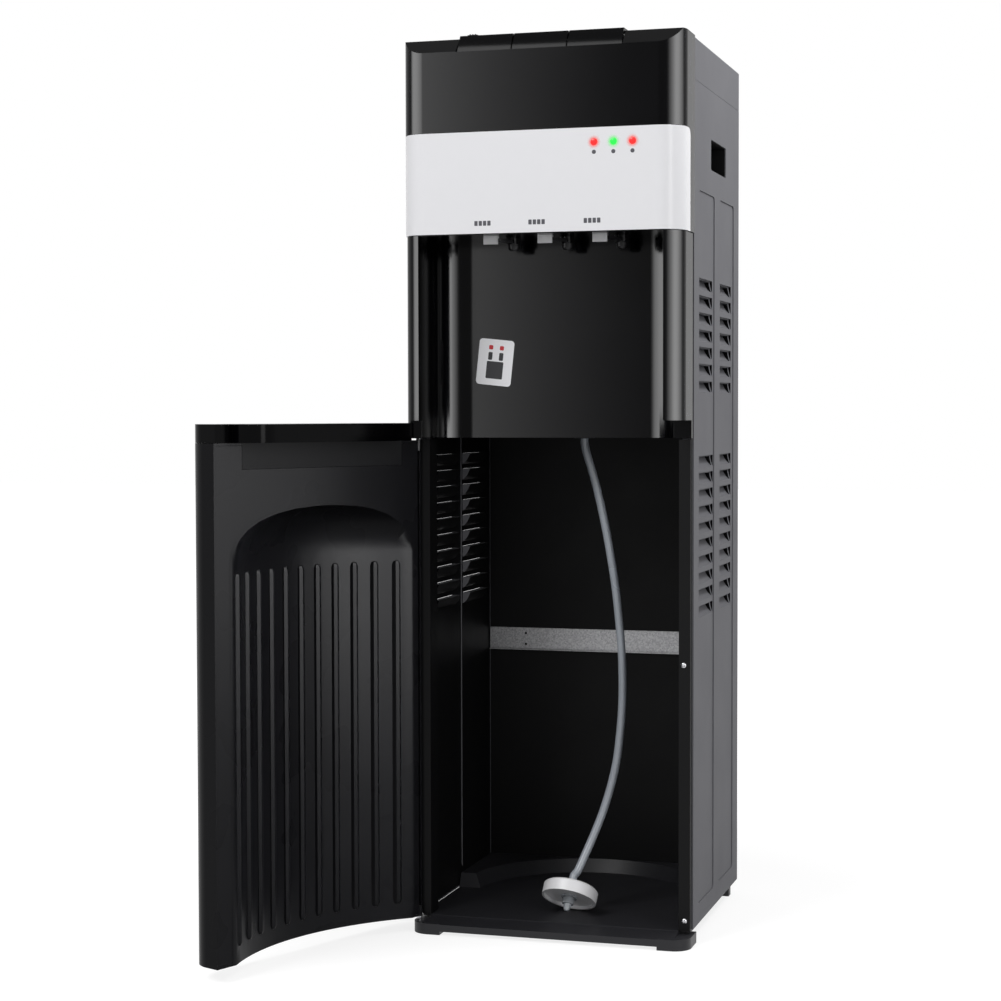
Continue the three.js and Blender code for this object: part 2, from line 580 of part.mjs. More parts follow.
function key(i) {
  const x = i * KEY_PITCH;
  const back = KEY_PIVOT_Y + 2.2;
  const outer = polygon([[SKIRT_Y, SKIRT_LOW], [SKIRT_Y, SKIRT_TOP], [KEY_EDGE_Y, KEY_TOP], [back, KEY_TOP],
    [back, KEY_TOP - KEY_WALL], [KEY_EDGE_Y + 1.5, KEY_TOP - KEY_WALL], [SKIRT_Y + KEY_WALL, SKIRT_TOP - 0.7],
    [SKIRT_Y + KEY_WALL, SKIRT_LOW]]);
  const shell = runX(outer, x - KEY_HALF, x + KEY_HALF);
  const ears = [-1, 1].map((side) => block([x + side * (KEY_HALF - 6), x + side * (KEY_HALF - 3)],
    [KEY_PIVOT_Y - 4.5, KEY_PIVOT_Y + 2.2], [KEY_PIVOT_Z - 4.5, KEY_TOP - 1]));
  const webs = [-1, 1].map((side) => runX(polygon([[SKIRT_Y + 1, SKIRT_LOW + 2], [SKIRT_Y + 1, SKIRT_TOP],
    [KEY_EDGE_Y, KEY_TOP - 1], [KEY_PIVOT_Y - 1, KEY_TOP - 1], [KEY_PIVOT_Y - 4, KEY_PIVOT_Z + 3]]),
    x + side * (KEY_HALF - 6), x + side * (KEY_HALF - 3)));
  const post = block([x - 3, x + 3], [PUSH_Y - 3, PUSH_Y + 3], [PUSH_TOP + GAP, KEY_TOP - 1]);
  const bore = round('x', [x, KEY_PIVOT_Y, KEY_PIVOT_Z], ROD_R + GAP, KEY_PITCH, 16);
  let body = cut(join(shell, ...ears, ...webs, post), bore);
  if (i === -1) {
    const slot = block([LOCK.x - 4 - GAP, LOCK.x + LOCK.travel + 4 + GAP], [LOCK.y - 2.3, LOCK.y + 2.3],
      [KEY_TOP - 6, KEY_TOP + 5]);
    body = cut(body, slot);
  }
  return body;
}

const LEVER_PIVOT = { y: NOZZLE_Y - NOZZLE_R - 5, z: NICHE_CEILING - 4.7 };
const ARM_HALF = 1.85;          // half thickness of the tap arm
const TAP_LOW = NICHE_CEILING - 14.2;   // mouth of the taps

function pushRod(i) {
  const x = i * KEY_PITCH;
  const shaft = block([x - 2.7, x + 2.7], [PUSH_Y - 1.2, PUSH_Y + 1.2], [TAB_BOTTOM + 18, PUSH_TOP]);
  const head = block([x - 4, x + 4], [PUSH_Y - 3, PUSH_Y + 3], [PUSH_TOP - 3, PUSH_TOP]);
  const tab = block([x - TAB_WIDTH / 2, x + TAB_WIDTH / 2], [PUSH_Y - 1.5, PUSH_Y + 1.5],
    [TAB_BOTTOM, TAB_BOTTOM + 20]);
  const arm = LEVER_PIVOT.z + ARM_HALF;
  const hook = block([x + 2, x + TAB_WIDTH / 2], [PUSH_Y, PUSH_Y + 5], [arm + 2 * GAP, arm + 3]);
  return join(shaft, head, tab, hook);
}

function tapBody(i) {
  const x = i * KEY_PITCH + NOZZLE_DX;
  const flangeLow = CEILING_TOP + GAP;
  const spout = turned([x, NOZZLE_Y, 0], [[0, TAP_LOW], [NOZZLE_R - 1.5, TAP_LOW], [NOZZLE_R, TAP_LOW + 2],
    [NOZZLE_R, flangeLow + 3], [0, flangeLow + 3]], 16);
  const flange = block([x - 11, x + 11], [NOZZLE_Y - 11, NOZZLE_Y + 11], [flangeLow, NICHE_CEILING + 23.8]);
  const inlet = round('y', [x, NOZZLE_Y + 16, NICHE_CEILING + 14.8], 4.5, 14, 12);
  const bore = round('z', [x, NOZZLE_Y, TAP_LOW - 2], NOZZLE_R - 3, 50, 12);
  const ears = [-1, 1].map((side) => cut(
    block([x + side * 3.5, x + side * 6], [LEVER_PIVOT.y - 2.2, NOZZLE_Y - 2],
      [LEVER_PIVOT.z - 2.7, NICHE_CEILING - GAP]),
    round('x', [x, LEVER_PIVOT.y, LEVER_PIVOT.z], 1.3, 20, 12)));
  return cut(join(flange, spout, inlet, ...ears), bore);
}

function tapLever(i) {
  const x0 = i * KEY_PITCH;
  const x = x0 + NOZZLE_DX;
  const arm = polygon([[x0 + 3, PUSH_Y + 2.3], [x0 + TAB_WIDTH / 2 - GAP, PUSH_Y + 2.3],
    [x + 3, LEVER_PIVOT.y - 6], [x + 3, LEVER_PIVOT.y + 1.8], [x - 3, LEVER_PIVOT.y + 1.8],
    [x - 3, LEVER_PIVOT.y - 6]]);
  const pin = round('x', [x, LEVER_PIVOT.y, LEVER_PIVOT.z], 1, 11.6, 12);
  return join(raised(arm, LEVER_PIVOT.z - ARM_HALF, LEVER_PIVOT.z + ARM_HALF), pin);
}

KEY_NAMES.forEach((name, index) => {
  const i = index - 1;
  place(`key_${name}`, key(i), glossBlack);
  place(`push_rod_${name}`, pushRod(i), white);
  place(`tap_${name}`, tapBody(i), satinBlack);
  place(`tap_lever_${name}`, tapLever(i), satinBlack);
});


function lockSlider() {
  const pad = block([LOCK.x - LOCK.half, LOCK.x + LOCK.half], [LOCK.y - 4.5, LOCK.y + 4.5],
    [KEY_TOP + GAP, KEY_TOP + 2.4]);
  const ridges = [-3, 0, 3].map((d) => block([LOCK.x + d - 0.7, LOCK.x + d + 0.7],
    [LOCK.y - 4.5, LOCK.y + 4.5], [KEY_TOP + 2, KEY_TOP + 3.2]));
  const stem = block([LOCK.x - 4, LOCK.x + 4], [LOCK.y - 2, LOCK.y + 2], [KEY_TOP - 5, KEY_TOP + 1]);
  const foot = block([LOCK.x - 5, LOCK.x + 5], [LOCK.y - 4, LOCK.y + 4],
    [KEY_TOP - 6, KEY_TOP - KEY_WALL - GAP]);
  return join(pad, ...ridges, stem, foot);
}
place('child_lock_slider', lockSlider(), glossBlack);

place('key_rod', round('x', [0, KEY_PIVOT_Y, KEY_PIVOT_Z], ROD_R, 3 * KEY_PITCH + 10, 16), steel);

// ---------------------------------------------------------------- front frame and deck
function frameStrip(side) {
  const z = [FLOOR + GAP, NICHE_BOTTOM - 1.5];
  const face = block([side * STRIP_IN, side * STRIP_OUT], [STRIP_FRONT, STRIP_FRONT + 1.5], z);
  const inner = block([side * STRIP_IN, side * (STRIP_IN + 1.5)], [STRIP_FRONT, -120], z);
  const outer = block([side * (STRIP_OUT - 1.5), side * STRIP_OUT], [STRIP_FRONT, -DEPTH_HALF - GAP], z);
  const foot = block([side * STRIP_IN, side * STRIP_OUT], [STRIP_FRONT, STRIP_FRONT + 3], [z[0], z[0] + 4]);
  return join(face, inner, outer, foot);
}
place('frame_strip_right', frameStrip(1), satinBlack);
place('frame_strip_left', frameStrip(-1), satinBlack);

const HOSE_TOP = [10, -37];
const INNER_HALF = SIDE_X - PRESS - SHEET - LOUVRE_DEPTH - 1.6;
function midDeck() {
  const front = NICHE_WALL_BACK + GAP;
  const plate = block([-INNER_HALF, INNER_HALF], [front, BACK_Y - GAP], [DECK, DECK + 2]);
  const tabs = [-1, 1].map((side) => block([side * (INNER_HALF - 6), side * (SIDE_X - PRESS - SHEET - GAP)],
    [front, front + 16], [DECK, DECK + 2]));
  const turnUps = [-1, 1].map((side) => block([side * (INNER_HALF - 3), side * (INNER_HALF - 1.5)],
    [front + 24, BACK_Y - 8], [DECK + 1, DECK + 14]));
  const hole = round('z', [HOSE_TOP[0], HOSE_TOP[1], DECK], 9 + GAP, 20, 20);
  return cut(join(plate, ...tabs, ...turnUps), hole);
}
place('mid_deck', midDeck(), galvanised);

function hoseGrommet() {
  const at = [HOSE_TOP[0], HOSE_TOP[1], 0];
  return cut(turned(at, [[0, DECK - 5], [12, DECK - 5], [12, DECK - GAP], [9, DECK - GAP], [9, DECK + 2 + GAP],
    [11, DECK + 2 + GAP], [11, DECK + 5], [0, DECK + 5]], 20),
  round('z', [at[0], at[1], DECK], HOSE_R - 1.2, 30, 16));
}
place('hose_grommet', hoseGrommet(), rubber);

// ---------------------------------------------------------------- rear
function rearPanel(z0, z1) {
  const half = SIDE_X - PRESS - SHEET - GAP;
  return block([-half, half], [BACK_Y, BACK_Y + SHEET], [z0, z1]);
}
const REAR_SPLIT = 575;
const SWITCH_Z = 594;
const SWITCHES = [['hot', -70, redLight], ['cold', -40, greenLight]];
const GRILLE = { rows: 5, pitch: 9, z: 640, half: 50 };

function rearUpper() {
  const slots = [];
  for (let row = 0; row < GRILLE.rows; row += 1) {
    const z = GRILLE.z + row * GRILLE.pitch;
    slots.push(block([-GRILLE.half, GRILLE.half], [BACK_Y - 5, BACK_Y + 5], [z, z + 4]));
  }
  const bezels = SWITCHES.map(([, x]) => block([x - 11, x + 11], [BACK_Y + 0.5, BACK_Y + SHEET + 2],
    [SWITCH_Z - 14, SWITCH_Z + 14]));
  const windows = SWITCHES.map(([, x]) => block([x - 7.4, x + 7.4], [BACK_Y - 5, BACK_Y + 9],
    [SWITCH_Z - 10.4, SWITCH_Z + 10.4]));
  return cut(join(rearPanel(REAR_SPLIT + GAP, COVER_SEAM - 1), ...bezels), ...slots, ...windows);
}
place('rear_panel_lower', rearPanel(PANEL_BOTTOM + 2, REAR_SPLIT), paintedSteel);
place('rear_panel_upper', rearUpper(), paintedSteel);

function crossBrace() {
  const half = SIDE_X - PRESS - SHEET - GAP;
  const y = BACK_Y - GAP;
  const web = block([-half, half], [y - 1.2, y], [BRACE_LOW, BRACE_HIGH]);
  const flange = block([-half, half], [y - 5, y], [BRACE_LOW, BRACE_LOW + 1.2]);
  const holes = [[-111, 303.5], [-111, 317.5], [111, 303.5], [111, 317.5]].map(([x, z]) =>
    round('y', [x, y, z], 1.6, 10, 10));
  return cut(join(web, flange), ...holes);
}
place('rear_cross_brace', crossBrace(), galvanised);

// ---------------------------------------------------------------- cooling and heating
const COMPRESSOR = { x: 78, y: 44, r: 56, z: DECK + 10 };
function compressor() {
  const { x, y, r, z } = COMPRESSOR;
  const dome = turned([x, y, z], [[0, 6], [r - 6, 6], [r, 12], [r, 62], [r + 3, 64], [r + 3, 70], [r, 72],
    [r, 118], [r - 8, 138], [r - 26, 150], [0, 154]], 20);
  const plate = block([x - 66, x + 66], [y - 40, y + 40], [z, z + 4]);
  const feet = [];
  [-57, 57].forEach((dx) => [-31, 31].forEach((dy) => {
    feet.push(round('z', [x + dx, y + dy, (DECK + 2 + GAP + z + 1) / 2], 7, z + 1 - DECK - 2 - GAP, 12));
  }));
  return join(dome, plate, ...feet,
    block([x - 20, x + 20], [y - r - 12, y - r + 10], [z + 70, z + 110]),
    round('z', [x, y, z + 5], 30, 4, 16));
}
place('compressor', compressor(), satinBlack);

function pump() {
  const [x, y, z] = [-70, -40, DECK + 2 + GAP];
  const motor = round('y', [x, y + 34, z + 26], 17, 60, 20);
  const head = block([x - 24, x + 24], [y - 28, y + 6], [z, z + 52]);
  const saddle = block([x - 14, x + 14], [y + 4, y + 58], [z, z + 14]);
  const ports = [-1, 1].map((side) => round('x', [x + side * 28, y - 12, z + 30], 4, 12, 12));
  return join(motor, head, saddle, ...ports);
}
place('pump', pump(), satinBlack);

function tankShelf() {
  const plate = block([-INNER_HALF, INNER_HALF], [NICHE_WALL_BACK + 8, BACK_Y - GAP], [SHELF, SHELF + 1.6]);
  const tabs = [];
  [-1, 1].forEach((side) => [[-100, -80], [112, 130]].forEach((y) => {
    tabs.push(block([side * (INNER_HALF - 1), side * (SIDE_X - PRESS - SHEET - GAP)], y, [SHELF, SHELF + 1.6]));
  }));
  const flange = block([-INNER_HALF, INNER_HALF], [BACK_Y - GAP - 1.6, BACK_Y - GAP], [SHELF, SHELF + 16]);
  return join(plate, ...tabs, flange);
}
place('tank_shelf', tankShelf(), galvanised);

const TANK_Z = SHELF + 1.6 + GAP;
const TANK_ROOM = 89.1;         // from the top of the cold tank to the top of the cooler
function coldTank() {
  const top = HEIGHT - TANK_ROOM - TANK_Z;
  return turned([-62, 30, TANK_Z], [[0, 0], [66, 0], [70, 4], [70, top - 22], [64, top - 14], [14, top - 12],
    [14, top], [0, top]], 24);
}
place('cold_tank', coldTank(), foam);

function hotTank() {
  const can = turned([74, 30, TANK_Z + 6], [[0, 0], [44, 0], [50, 5], [50, 118], [40, 130], [12, 134], [12, 146],
    [0, 146]], 20);
  const legs = [0, 1, 2].map((n) => {
    const angle = (n / 3) * 2 * Math.PI;
    return round('z', [74 + 36 * Math.cos(angle), 30 + 36 * Math.sin(angle), TANK_Z + 4], 4, 8, 10);
  });
  return join(can, ...legs);
}
place('hot_tank', hotTank(), steel);

function controlBox() {
  return cut(block([-134, -52], [86, BACK_Y - GAP], [REAR_SPLIT + 30, REAR_SPLIT + 110]),
    block([-131, -55], [80, 89], [REAR_SPLIT + 33, REAR_SPLIT + 107]));
}
place('control_box', controlBox(), satinBlack);

// Wire and tube condenser, hung on the outside of the rear panel.
const COIL = { half: 112, low: 640, pitch: 34, rows: 9, y: 146, r: 2.4, straps: 4 };
function condenser() {
  const top = COIL.low + (COIL.rows - 1) * COIL.pitch;
  const runs = [];
  for (let row = 0; row < COIL.rows; row += 1) {
    const z = COIL.low + row * COIL.pitch;
    runs.push(round('x', [0, COIL.y, z], COIL.r, 2 * COIL.half, 8));
    if (row < COIL.rows - 1) runs.push(returnBend(row % 2 === 0 ? 1 : -1, z + COIL.pitch / 2));
  }
  const straps = [];
  for (let n = 0; n < COIL.straps; n += 1) {
    const x = (n / (COIL.straps - 1) - 0.5) * 2 * (COIL.half - 6);
    straps.push(block([x - 5, x + 5], [COIL.y - COIL.r - 1.2, COIL.y - COIL.r + 0.6], [COIL.low - 16, top + 16]));
  }
  const brackets = [];
  [-1, 1].forEach((side) => [COIL.low - 16, top + 4].forEach((z) => {
    const x = side * (COIL.half - 6);
    brackets.push(block([x - 5, x + 5], [BACK_Y + SHEET + GAP, COIL.y - COIL.r], [z, z + 12]));
  }));
  return join(...runs, ...straps, ...brackets);
}

// Half ring that joins two runs of the condenser tube.
function returnBend(side, z) {
  const outer = COIL.pitch / 2 + COIL.r;
  const inner = COIL.pitch / 2 - COIL.r;
  const x = side * (COIL.half - 1);
  const shape = new THREE.Shape();
  shape.moveTo(x, z + outer);
  shape.absarc(x, z, outer, Math.PI / 2, -Math.PI / 2, side > 0);
  shape.lineTo(x, z - inner);
  shape.absarc(x, z, inner, -Math.PI / 2, Math.PI / 2, side < 0);
  return runY(shape, COIL.y - COIL.r * 0.9, COIL.y + COIL.r * 0.9, 8);
}
place('condenser', condenser(), satinBlack);

// Tubes between the pump, the tanks and the compressor.
place('suction_tube', tube([[HOSE_TOP[0], HOSE_TOP[1], DECK + 5 + GAP], [HOSE_TOP[0], HOSE_TOP[1], 588],
  [0, -46, 602], [-18, -52, 605.3], [-35.6, -52, 605.3]], 3.6, 6, 12), clearHose);
place('supply_tube', tube([[-104.4, -52, 605.3], [-114, -52, 605.3], [-125, -51, 616], [-126, -48, 640], [-126, -46, 700],
  [-124, -44, 730], [-112, -44, 742]], 3.6, 6, 18), clearHose);
place('suction_line', tube([[78, -24.5, 672], [78, -38, 672], [62, -54, 690], [24, -62, 712], [4, -62, 728], [2, -62, 742]],
  3, 6, 14), copper);

// ---------------------------------------------------------------- hose and bottle cap
const HOSE_ROUTE = [
  [HOSE_TOP[0], HOSE_TOP[1], DECK - 5 - GAP], [10.2, -37, 561], [12.6, -37.2, 550], [18.5, -37, 531],
  [26.5, -36.1, 501],
  [33.6, -34.8, 468], [39.8, -33.7, 434], [46.6, -32.9, 389], [50.8, -32.4, 349], [54.1, -33.7, 313],
  [55.3, -36.1, 260], [53.6, -41, 220], [50.5, -46.5, 187], [44.5, -53.5, 156], [37, -61.5, 128],
  [28.5, -70.5, 103], [20.5, -80.5, 81], [14.2, -89.5, 64.5],
];
function hose() {
  const end = CAP_CENTRE.clone().addScaledVector(CAP_AXIS, CAP_HEIGHT + 6 + GAP);
  const before = CAP_CENTRE.clone().addScaledVector(CAP_AXIS, CAP_HEIGHT + 14);
  return tube([...HOSE_ROUTE, before.toArray(), end.toArray()], HOSE_R, HOSE_SIDES, 36);
}
place('hose', hose(), clearHose);

// Pieces along the cap's own axis: drawn upright, then leaned over.
function leaned(solid) {
  const turn = new THREE.Quaternion().setFromUnitVectors(new THREE.Vector3(0, 0, 1), CAP_AXIS);
  const matrix = new THREE.Matrix4().makeRotationFromQuaternion(turn).setPosition(CAP_CENTRE);
  const geometry = geometryOf(solid);
  geometry.applyMatrix4(matrix);
  return solidOf(geometry);
}
function bottleCap() {
  const cup = turned([0, 0, 0], [[0, 4], [CAP_R - 2.4, 4], [CAP_R - 2.4, 0], [CAP_R, 0], [CAP_R, CAP_HEIGHT - 2],
    [CAP_R - 2, CAP_HEIGHT], [9, CAP_HEIGHT], [8, CAP_HEIGHT + 6], [0, CAP_HEIGHT + 6]], 32);
  const bore = round('z', [0, 0, 10], 4.3, 40, 16);
  return leaned(cut(cup, bore));
}
function capSpike() {
  const spike = turned([0, 0, 0], [[0, -SPIKE_LENGTH], [3.2, -SPIKE_LENGTH], [4.6, -SPIKE_LENGTH + 5],
    [4.6, -6], [6.6, -6], [6.6, 1.5], [9.5, 1.5], [9.5, 4 - GAP], [4, 4 - GAP], [4, 12], [0, 12]], 16);
  const bore = round('z', [0, 0, 0], 2, 40, 10);
  return leaned(cut(spike, bore));
}
place('bottle_cap', bottleCap(), white);
place('cap_spike', capSpike(), clearHose);

// ---------------------------------------------------------------- door, drawn shut
const DOOR_OUTER = DOOR_INNER - DOOR_THICK;
const RECESS_MID = (RECESS_LEFT + RECESS_RIGHT) / 2;
const CHORD_HALF = (RECESS_RIGHT - RECESS_LEFT) / 2;
const RECESS_R = (CHORD_HALF ** 2 + RECESS_DEPTH ** 2) / (2 * RECESS_DEPTH);
const RECESS_CY = DOOR_INNER - RECESS_DEPTH + RECESS_R;
const RECESS_STEPS = 18;
const DOME_STEPS = 7;
const RIB_R = (RIB_WIDTH ** 2 / 4 + RIB_RISE ** 2) / (2 * RIB_RISE);

// Solid through a stack of outlines with the same number of points, each [x, y] list at its own height.
function loft(rings) {
  const n = rings[0].points.length;
  const positions = rings.flatMap(({ z, points }) => points.flatMap(([x, y]) => [x, y, z]));
  const index = [];
  for (let k = 0; k < rings.length - 1; k += 1) {
    for (let i = 0; i < n; i += 1) {
      const [a, b] = [k * n + i, k * n + ((i + 1) % n)];
      index.push(a, b, b + n, a, b + n, a + n);
    }
  }
  const last = (rings.length - 1) * n;
  for (let i = 1; i < n - 1; i += 1) index.push(0, i + 1, i, last, last + i, last + i + 1);
  const geometry = new THREE.BufferGeometry();
  geometry.setAttribute('position', new THREE.Float32BufferAttribute(positions, 3));
  geometry.setIndex(index);
  return solidOf(geometry);
}

// Plan of the bottle recess, grown outward by grow, carried past the inner plane by extra and scaled by share.
function recessPlan(grow, extra, share) {
  const r = RECESS_R + grow;
  const half = Math.sqrt(r * r - (RECESS_CY - DOOR_INNER) ** 2);
  const a = Math.asin(half / r);
  const points = [];
  for (let i = 0; i <= RECESS_STEPS; i += 1) {
    const angle = -Math.PI / 2 + a * ((2 * i) / RECESS_STEPS - 1);
    points.push([RECESS_MID + share * r * Math.cos(angle),
      DOOR_INNER + share * (RECESS_CY + r * Math.sin(angle) - DOOR_INNER)]);
  }
  points.push([RECESS_MID + share * half, DOOR_INNER + extra], [RECESS_MID - share * half, DOOR_INNER + extra]);
  return points;
}

// The recess: upright up to the spring of its arch, then closing in a dome.
function recess(grow, extra) {
  const rise = ARCH_TOP + grow - ARCH_SPRING;
  const rings = [{ z: DOOR_BOTTOM - 5, points: recessPlan(grow, extra, 1) }];
  for (let k = 0; k <= DOME_STEPS; k += 1) {
    const t = Math.sin((k / DOME_STEPS) * Math.PI * 0.48);
    const share = (1 - t ** ARCH_POWER) ** (1 / ARCH_POWER);
    rings.push({ z: ARCH_SPRING + t * rise, points: recessPlan(grow, extra, share) });
  }
  return loft(rings);
}

function knuckle(z0, z1) {
  return round('z', [PIVOT_X, PIVOT_Y, (z0 + z1) / 2], KNUCKLE_R, z1 - z0, 20);
}

const HOUSING = { x0: -128, x1: 120, y0: -188, y1: DOOR_INNER };

function doorShell() {
  const outer = raised(frontPlan(DOOR_HALF, DOOR_OUTER, DOOR_INNER, DOOR_R), DOOR_BOTTOM, DOOR_TOP, 8);
  const inner = raised(frontPlan(DOOR_HALF - WALL, DOOR_OUTER + WALL, DOOR_INNER + 5, DOOR_R - WALL),
    DOOR_BOTTOM + WALL, DOOR_TOP - WALL, 8);
  const hatch = block([HOUSING.x0 - GAP, HOUSING.x1 + GAP], [HOUSING.y0 - GAP, DOOR_INNER + 5],
    [HOUSING_LOW - 5, DOOR_TOP + 5]);
  const knuckles = join(knuckle(DOOR_BOTTOM, DOOR_BOTTOM + 12), knuckle(DOOR_TOP - 12, DOOR_TOP));
  const bores = [DOOR_BOTTOM, DOOR_TOP].map((z) => round('z', [PIVOT_X, PIVOT_Y, z], PIN_R + GAP, 20, 16));
  return cut(join(cut(outer, inner, recess(WALL + GAP, 10), hatch), knuckles), ...bores);
}
place('door_shell', doorShell(), satinBlack, door);

function doorLiner() {
  const half = DOOR_HALF - WALL - GAP;
  const z = [DOOR_BOTTOM + WALL + GAP, DOOR_TOP - WALL - GAP];
  const plate = block([-half, half], [DOOR_INNER - WALL, DOOR_INNER - GAP], z);
  const lowBand = block([-half, half], [DOOR_INNER - 6, DOOR_INNER], [DOOR_BOTTOM, z[0] + 3]);
  const bulge = recess(WALL, 5).intersect(block([-half, half], [DOOR_OUTER, DOOR_INNER],
    [DOOR_BOTTOM, DOOR_TOP]));
  const ribs = [];
  for (let i = 0; i < RIB_COUNT; i += 1) {
    const x = RIB_MID + (i - (RIB_COUNT - 1) / 2) * RIB_PITCH;
    const y = RECESS_CY - Math.sqrt(RECESS_R ** 2 - (x - RECESS_MID) ** 2) + RIB_RISE - RIB_R;
    const bend = RIB_R * 0.3;
    ribs.push(turned([x, y, 0], [[0, RIB_LOW], [RIB_R - bend, RIB_LOW + bend], [RIB_R, RIB_LOW + RIB_R],
      [RIB_R, RIB_HIGH - RIB_R], [RIB_R - bend, RIB_HIGH - bend], [0, RIB_HIGH]], 8));
  }
  const corner = round('z', [PIVOT_X, PIVOT_Y, 300], KNUCKLE_R + GAP, 700, 20);
  const hatch = block([HOUSING.x0 - GAP, HOUSING.x1 + GAP], [HOUSING.y0 - GAP, DOOR_INNER + 5],
    [HOUSING_LOW - GAP, DOOR_TOP + 5]);
  const shell = cut(join(plate, bulge), recess(0, 10), hatch, corner);
  const within = recess(WALL / 2, 5);
  return join(shell, ...ribs.map((rib) => rib.intersect(within)));
}
place('door_liner', doorLiner(), satinBlack, door);

// Shelf on top of the door with the housing of the drip tray under it.
function shelfPlan() {
  const shape = new THREE.Shape();
  const free = RECESS_RIGHT;
  shape.moveTo(LEDGE_END, DOOR_OUTER + 1);
  shape.lineTo(LEDGE_FREE - 24, DOOR_OUTER + 1);
  shape.absarc(LEDGE_FREE - 24, DOOR_OUTER + 25, 24, -Math.PI / 2, 0);
  shape.lineTo(LEDGE_FREE, DOOR_INNER);
  shape.lineTo(free, DOOR_INNER);
  shape.absarc(free - LEDGE_R, LEDGE_LIP - LEDGE_R, LEDGE_R, 0, Math.PI / 2);
  shape.lineTo(LEDGE_END + 6, LEDGE_LIP);
  shape.absarc(LEDGE_END + 6, LEDGE_LIP - 6, 6, Math.PI / 2, Math.PI);
  return shape;
}
const TRAY = { x0: -100, x1: 112, y0: -186, y1: -154, rimY: -126, rimZ: 576, gridZ: 583 };

function doorShelf() {
  const slab = raised(shelfPlan(), LEDGE_LOW, LEDGE_HIGH, 10);
  const housing = block([HOUSING.x0, HOUSING.x1], [HOUSING.y0, HOUSING.y1], [HOUSING_LOW, DOOR_TOP]);
  const neck = block([LEDGE_END, HOUSING.x1], [HOUSING.y0, HOUSING.y1], [DOOR_TOP - 4, LEDGE_LOW + 1]);
  const well = block([TRAY.x0 - 0.6, TRAY.x1 + 0.6], [TRAY.y0 + 0.4 - 1, TRAY.y1 + 0.6],
    [HOUSING_LOW + 2, LEDGE_HIGH + 5]);
  const mouth = block([TRAY.x0 - 0.6, TRAY.x1 + 0.6], [TRAY.y0 - 0.6, TRAY.rimY + 0.6],
    [TRAY.rimZ - GAP, LEDGE_HIGH + 5]);
  return cut(join(slab, housing, neck), well, mouth);
}
place('door_shelf', doorShelf(), glossBlack, door);

function dripTray() {
  const basin = block([TRAY.x0, TRAY.x1], [TRAY.y0, TRAY.y1], [HOUSING_LOW + 2 + GAP, TRAY.rimZ + 2]);
  const wing = block([TRAY.x0, TRAY.x1], [TRAY.y0, TRAY.rimY], [TRAY.rimZ, LEDGE_HIGH - 0.5]);
  const basinIn = block([TRAY.x0 + 2, TRAY.x1 - 2], [TRAY.y0 + 2, TRAY.y1 - 2], [HOUSING_LOW + 4.5, LEDGE_HIGH]);
  const wingIn = block([TRAY.x0 + 2, TRAY.x1 - 2], [TRAY.y0 + 2, TRAY.rimY - 2], [TRAY.rimZ + 2, LEDGE_HIGH]);
  return cut(join(basin, wing), basinIn, wingIn);
}
place('drip_tray', dripTray(), satinBlack, door);

function dripGrid() {
  const x = [TRAY.x0 + 2 + GAP, TRAY.x1 - 2 - GAP];
  const y = [TRAY.y0 + 2 + GAP, TRAY.rimY - 2 - GAP];
  const frame = block(x, y, [TRAY.gridZ, LEDGE_HIGH]);
  const slots = [];
  const count = 14;
  const pitch = (x[1] - x[0] - 10) / count;
  for (let i = 0; i < count; i += 1) {
    const x0 = x[0] + 7 + i * pitch;
    slots.push(block([x0, x0 + pitch * 0.55], [y[0] + 5, y[1] - 5], [TRAY.gridZ - 1, LEDGE_HIGH + 1]));
  }
  const feet = [];
  [x[0] + 1, x[1] - 4].forEach((fx) => [y[0] + 34, y[1] - 4].forEach((fy) => {
    feet.push(block([fx, fx + 3], [fy, fy + 3], [TRAY.rimZ + 2 + GAP, TRAY.gridZ + 1]));
  }));
  return join(cut(frame, ...slots), ...feet);
}
place('drip_grid', dripGrid(), steel, door);

// ---------------------------------------------------------------- hinge pins
const lowerPin = turned([PIVOT_X, PIVOT_Y, 0], [[0, 5], [PIN_R, 5], [PIN_R, APRON_TOP + 0.5 + GAP],
  [3.4, APRON_TOP + 0.5 + GAP], [3.4, DOOR_BOTTOM - GAP], [PIN_R, DOOR_BOTTOM - GAP], [PIN_R, DOOR_BOTTOM + 9],
  [0, DOOR_BOTTOM + 9]], 16);
const upperPin = turned([PIVOT_X, PIVOT_Y, 0], [[0, DOOR_TOP - 9], [PIN_R, DOOR_TOP - 9],
  [PIN_R, DOOR_TOP + 12], [0, DOOR_TOP + 12]], 16);
place('hinge_pin_lower', lowerPin, steel);
place('hinge_pin_upper', upperPin, steel);

// ---------------------------------------------------------------- rear fittings
SWITCHES.forEach(([name, x, colour]) => {
  const back = BACK_Y + SHEET;
  const rocker = polygon([[back - 3, SWITCH_Z - 9], [back + 3.4, SWITCH_Z - 9], [back + 1.8, SWITCH_Z],
    [back + 3.4, SWITCH_Z + 9], [back - 3, SWITCH_Z + 9], [back - 5, SWITCH_Z]]);
  place(`switch_rocker_${name}`, runX(rocker, x - 6.8, x + 6.8), colour);
});

function drainSpout() {
  const y = BACK_Y + SHEET;
  const spout = round('y', [60, y + 9, 590], 6, 17, 16);
  const flange = round('y', [60, y + GAP + 1.2, 590], 12, 2.4, 16);
  const bore = round('y', [60, y + 9, 590], 3.6, 40, 12);
  return cut(join(spout, flange), bore);
}
place('drain_spout', drainSpout(), satinBlack);
function drainCap() {
  const y = BACK_Y + SHEET;
  return cut(round('y', [60, y + 14, 590], 9, 12, 20), round('y', [60, y + 10, 590], 6 + GAP, 16, 20));
}
place('drain_cap', drainCap(), satinBlack);

function cordGland() {
  const y = BACK_Y + SHEET + GAP;
  return cut(join(round('y', [110, y + 1.5, 590], 11, 3, 20), round('y', [110, y + 5, 590], 7, 10, 16)),
    round('y', [110, y + 5, 590], 3.6, 40, 12));
}
place('cord_gland', cordGland(), rubber);

export default cooler;
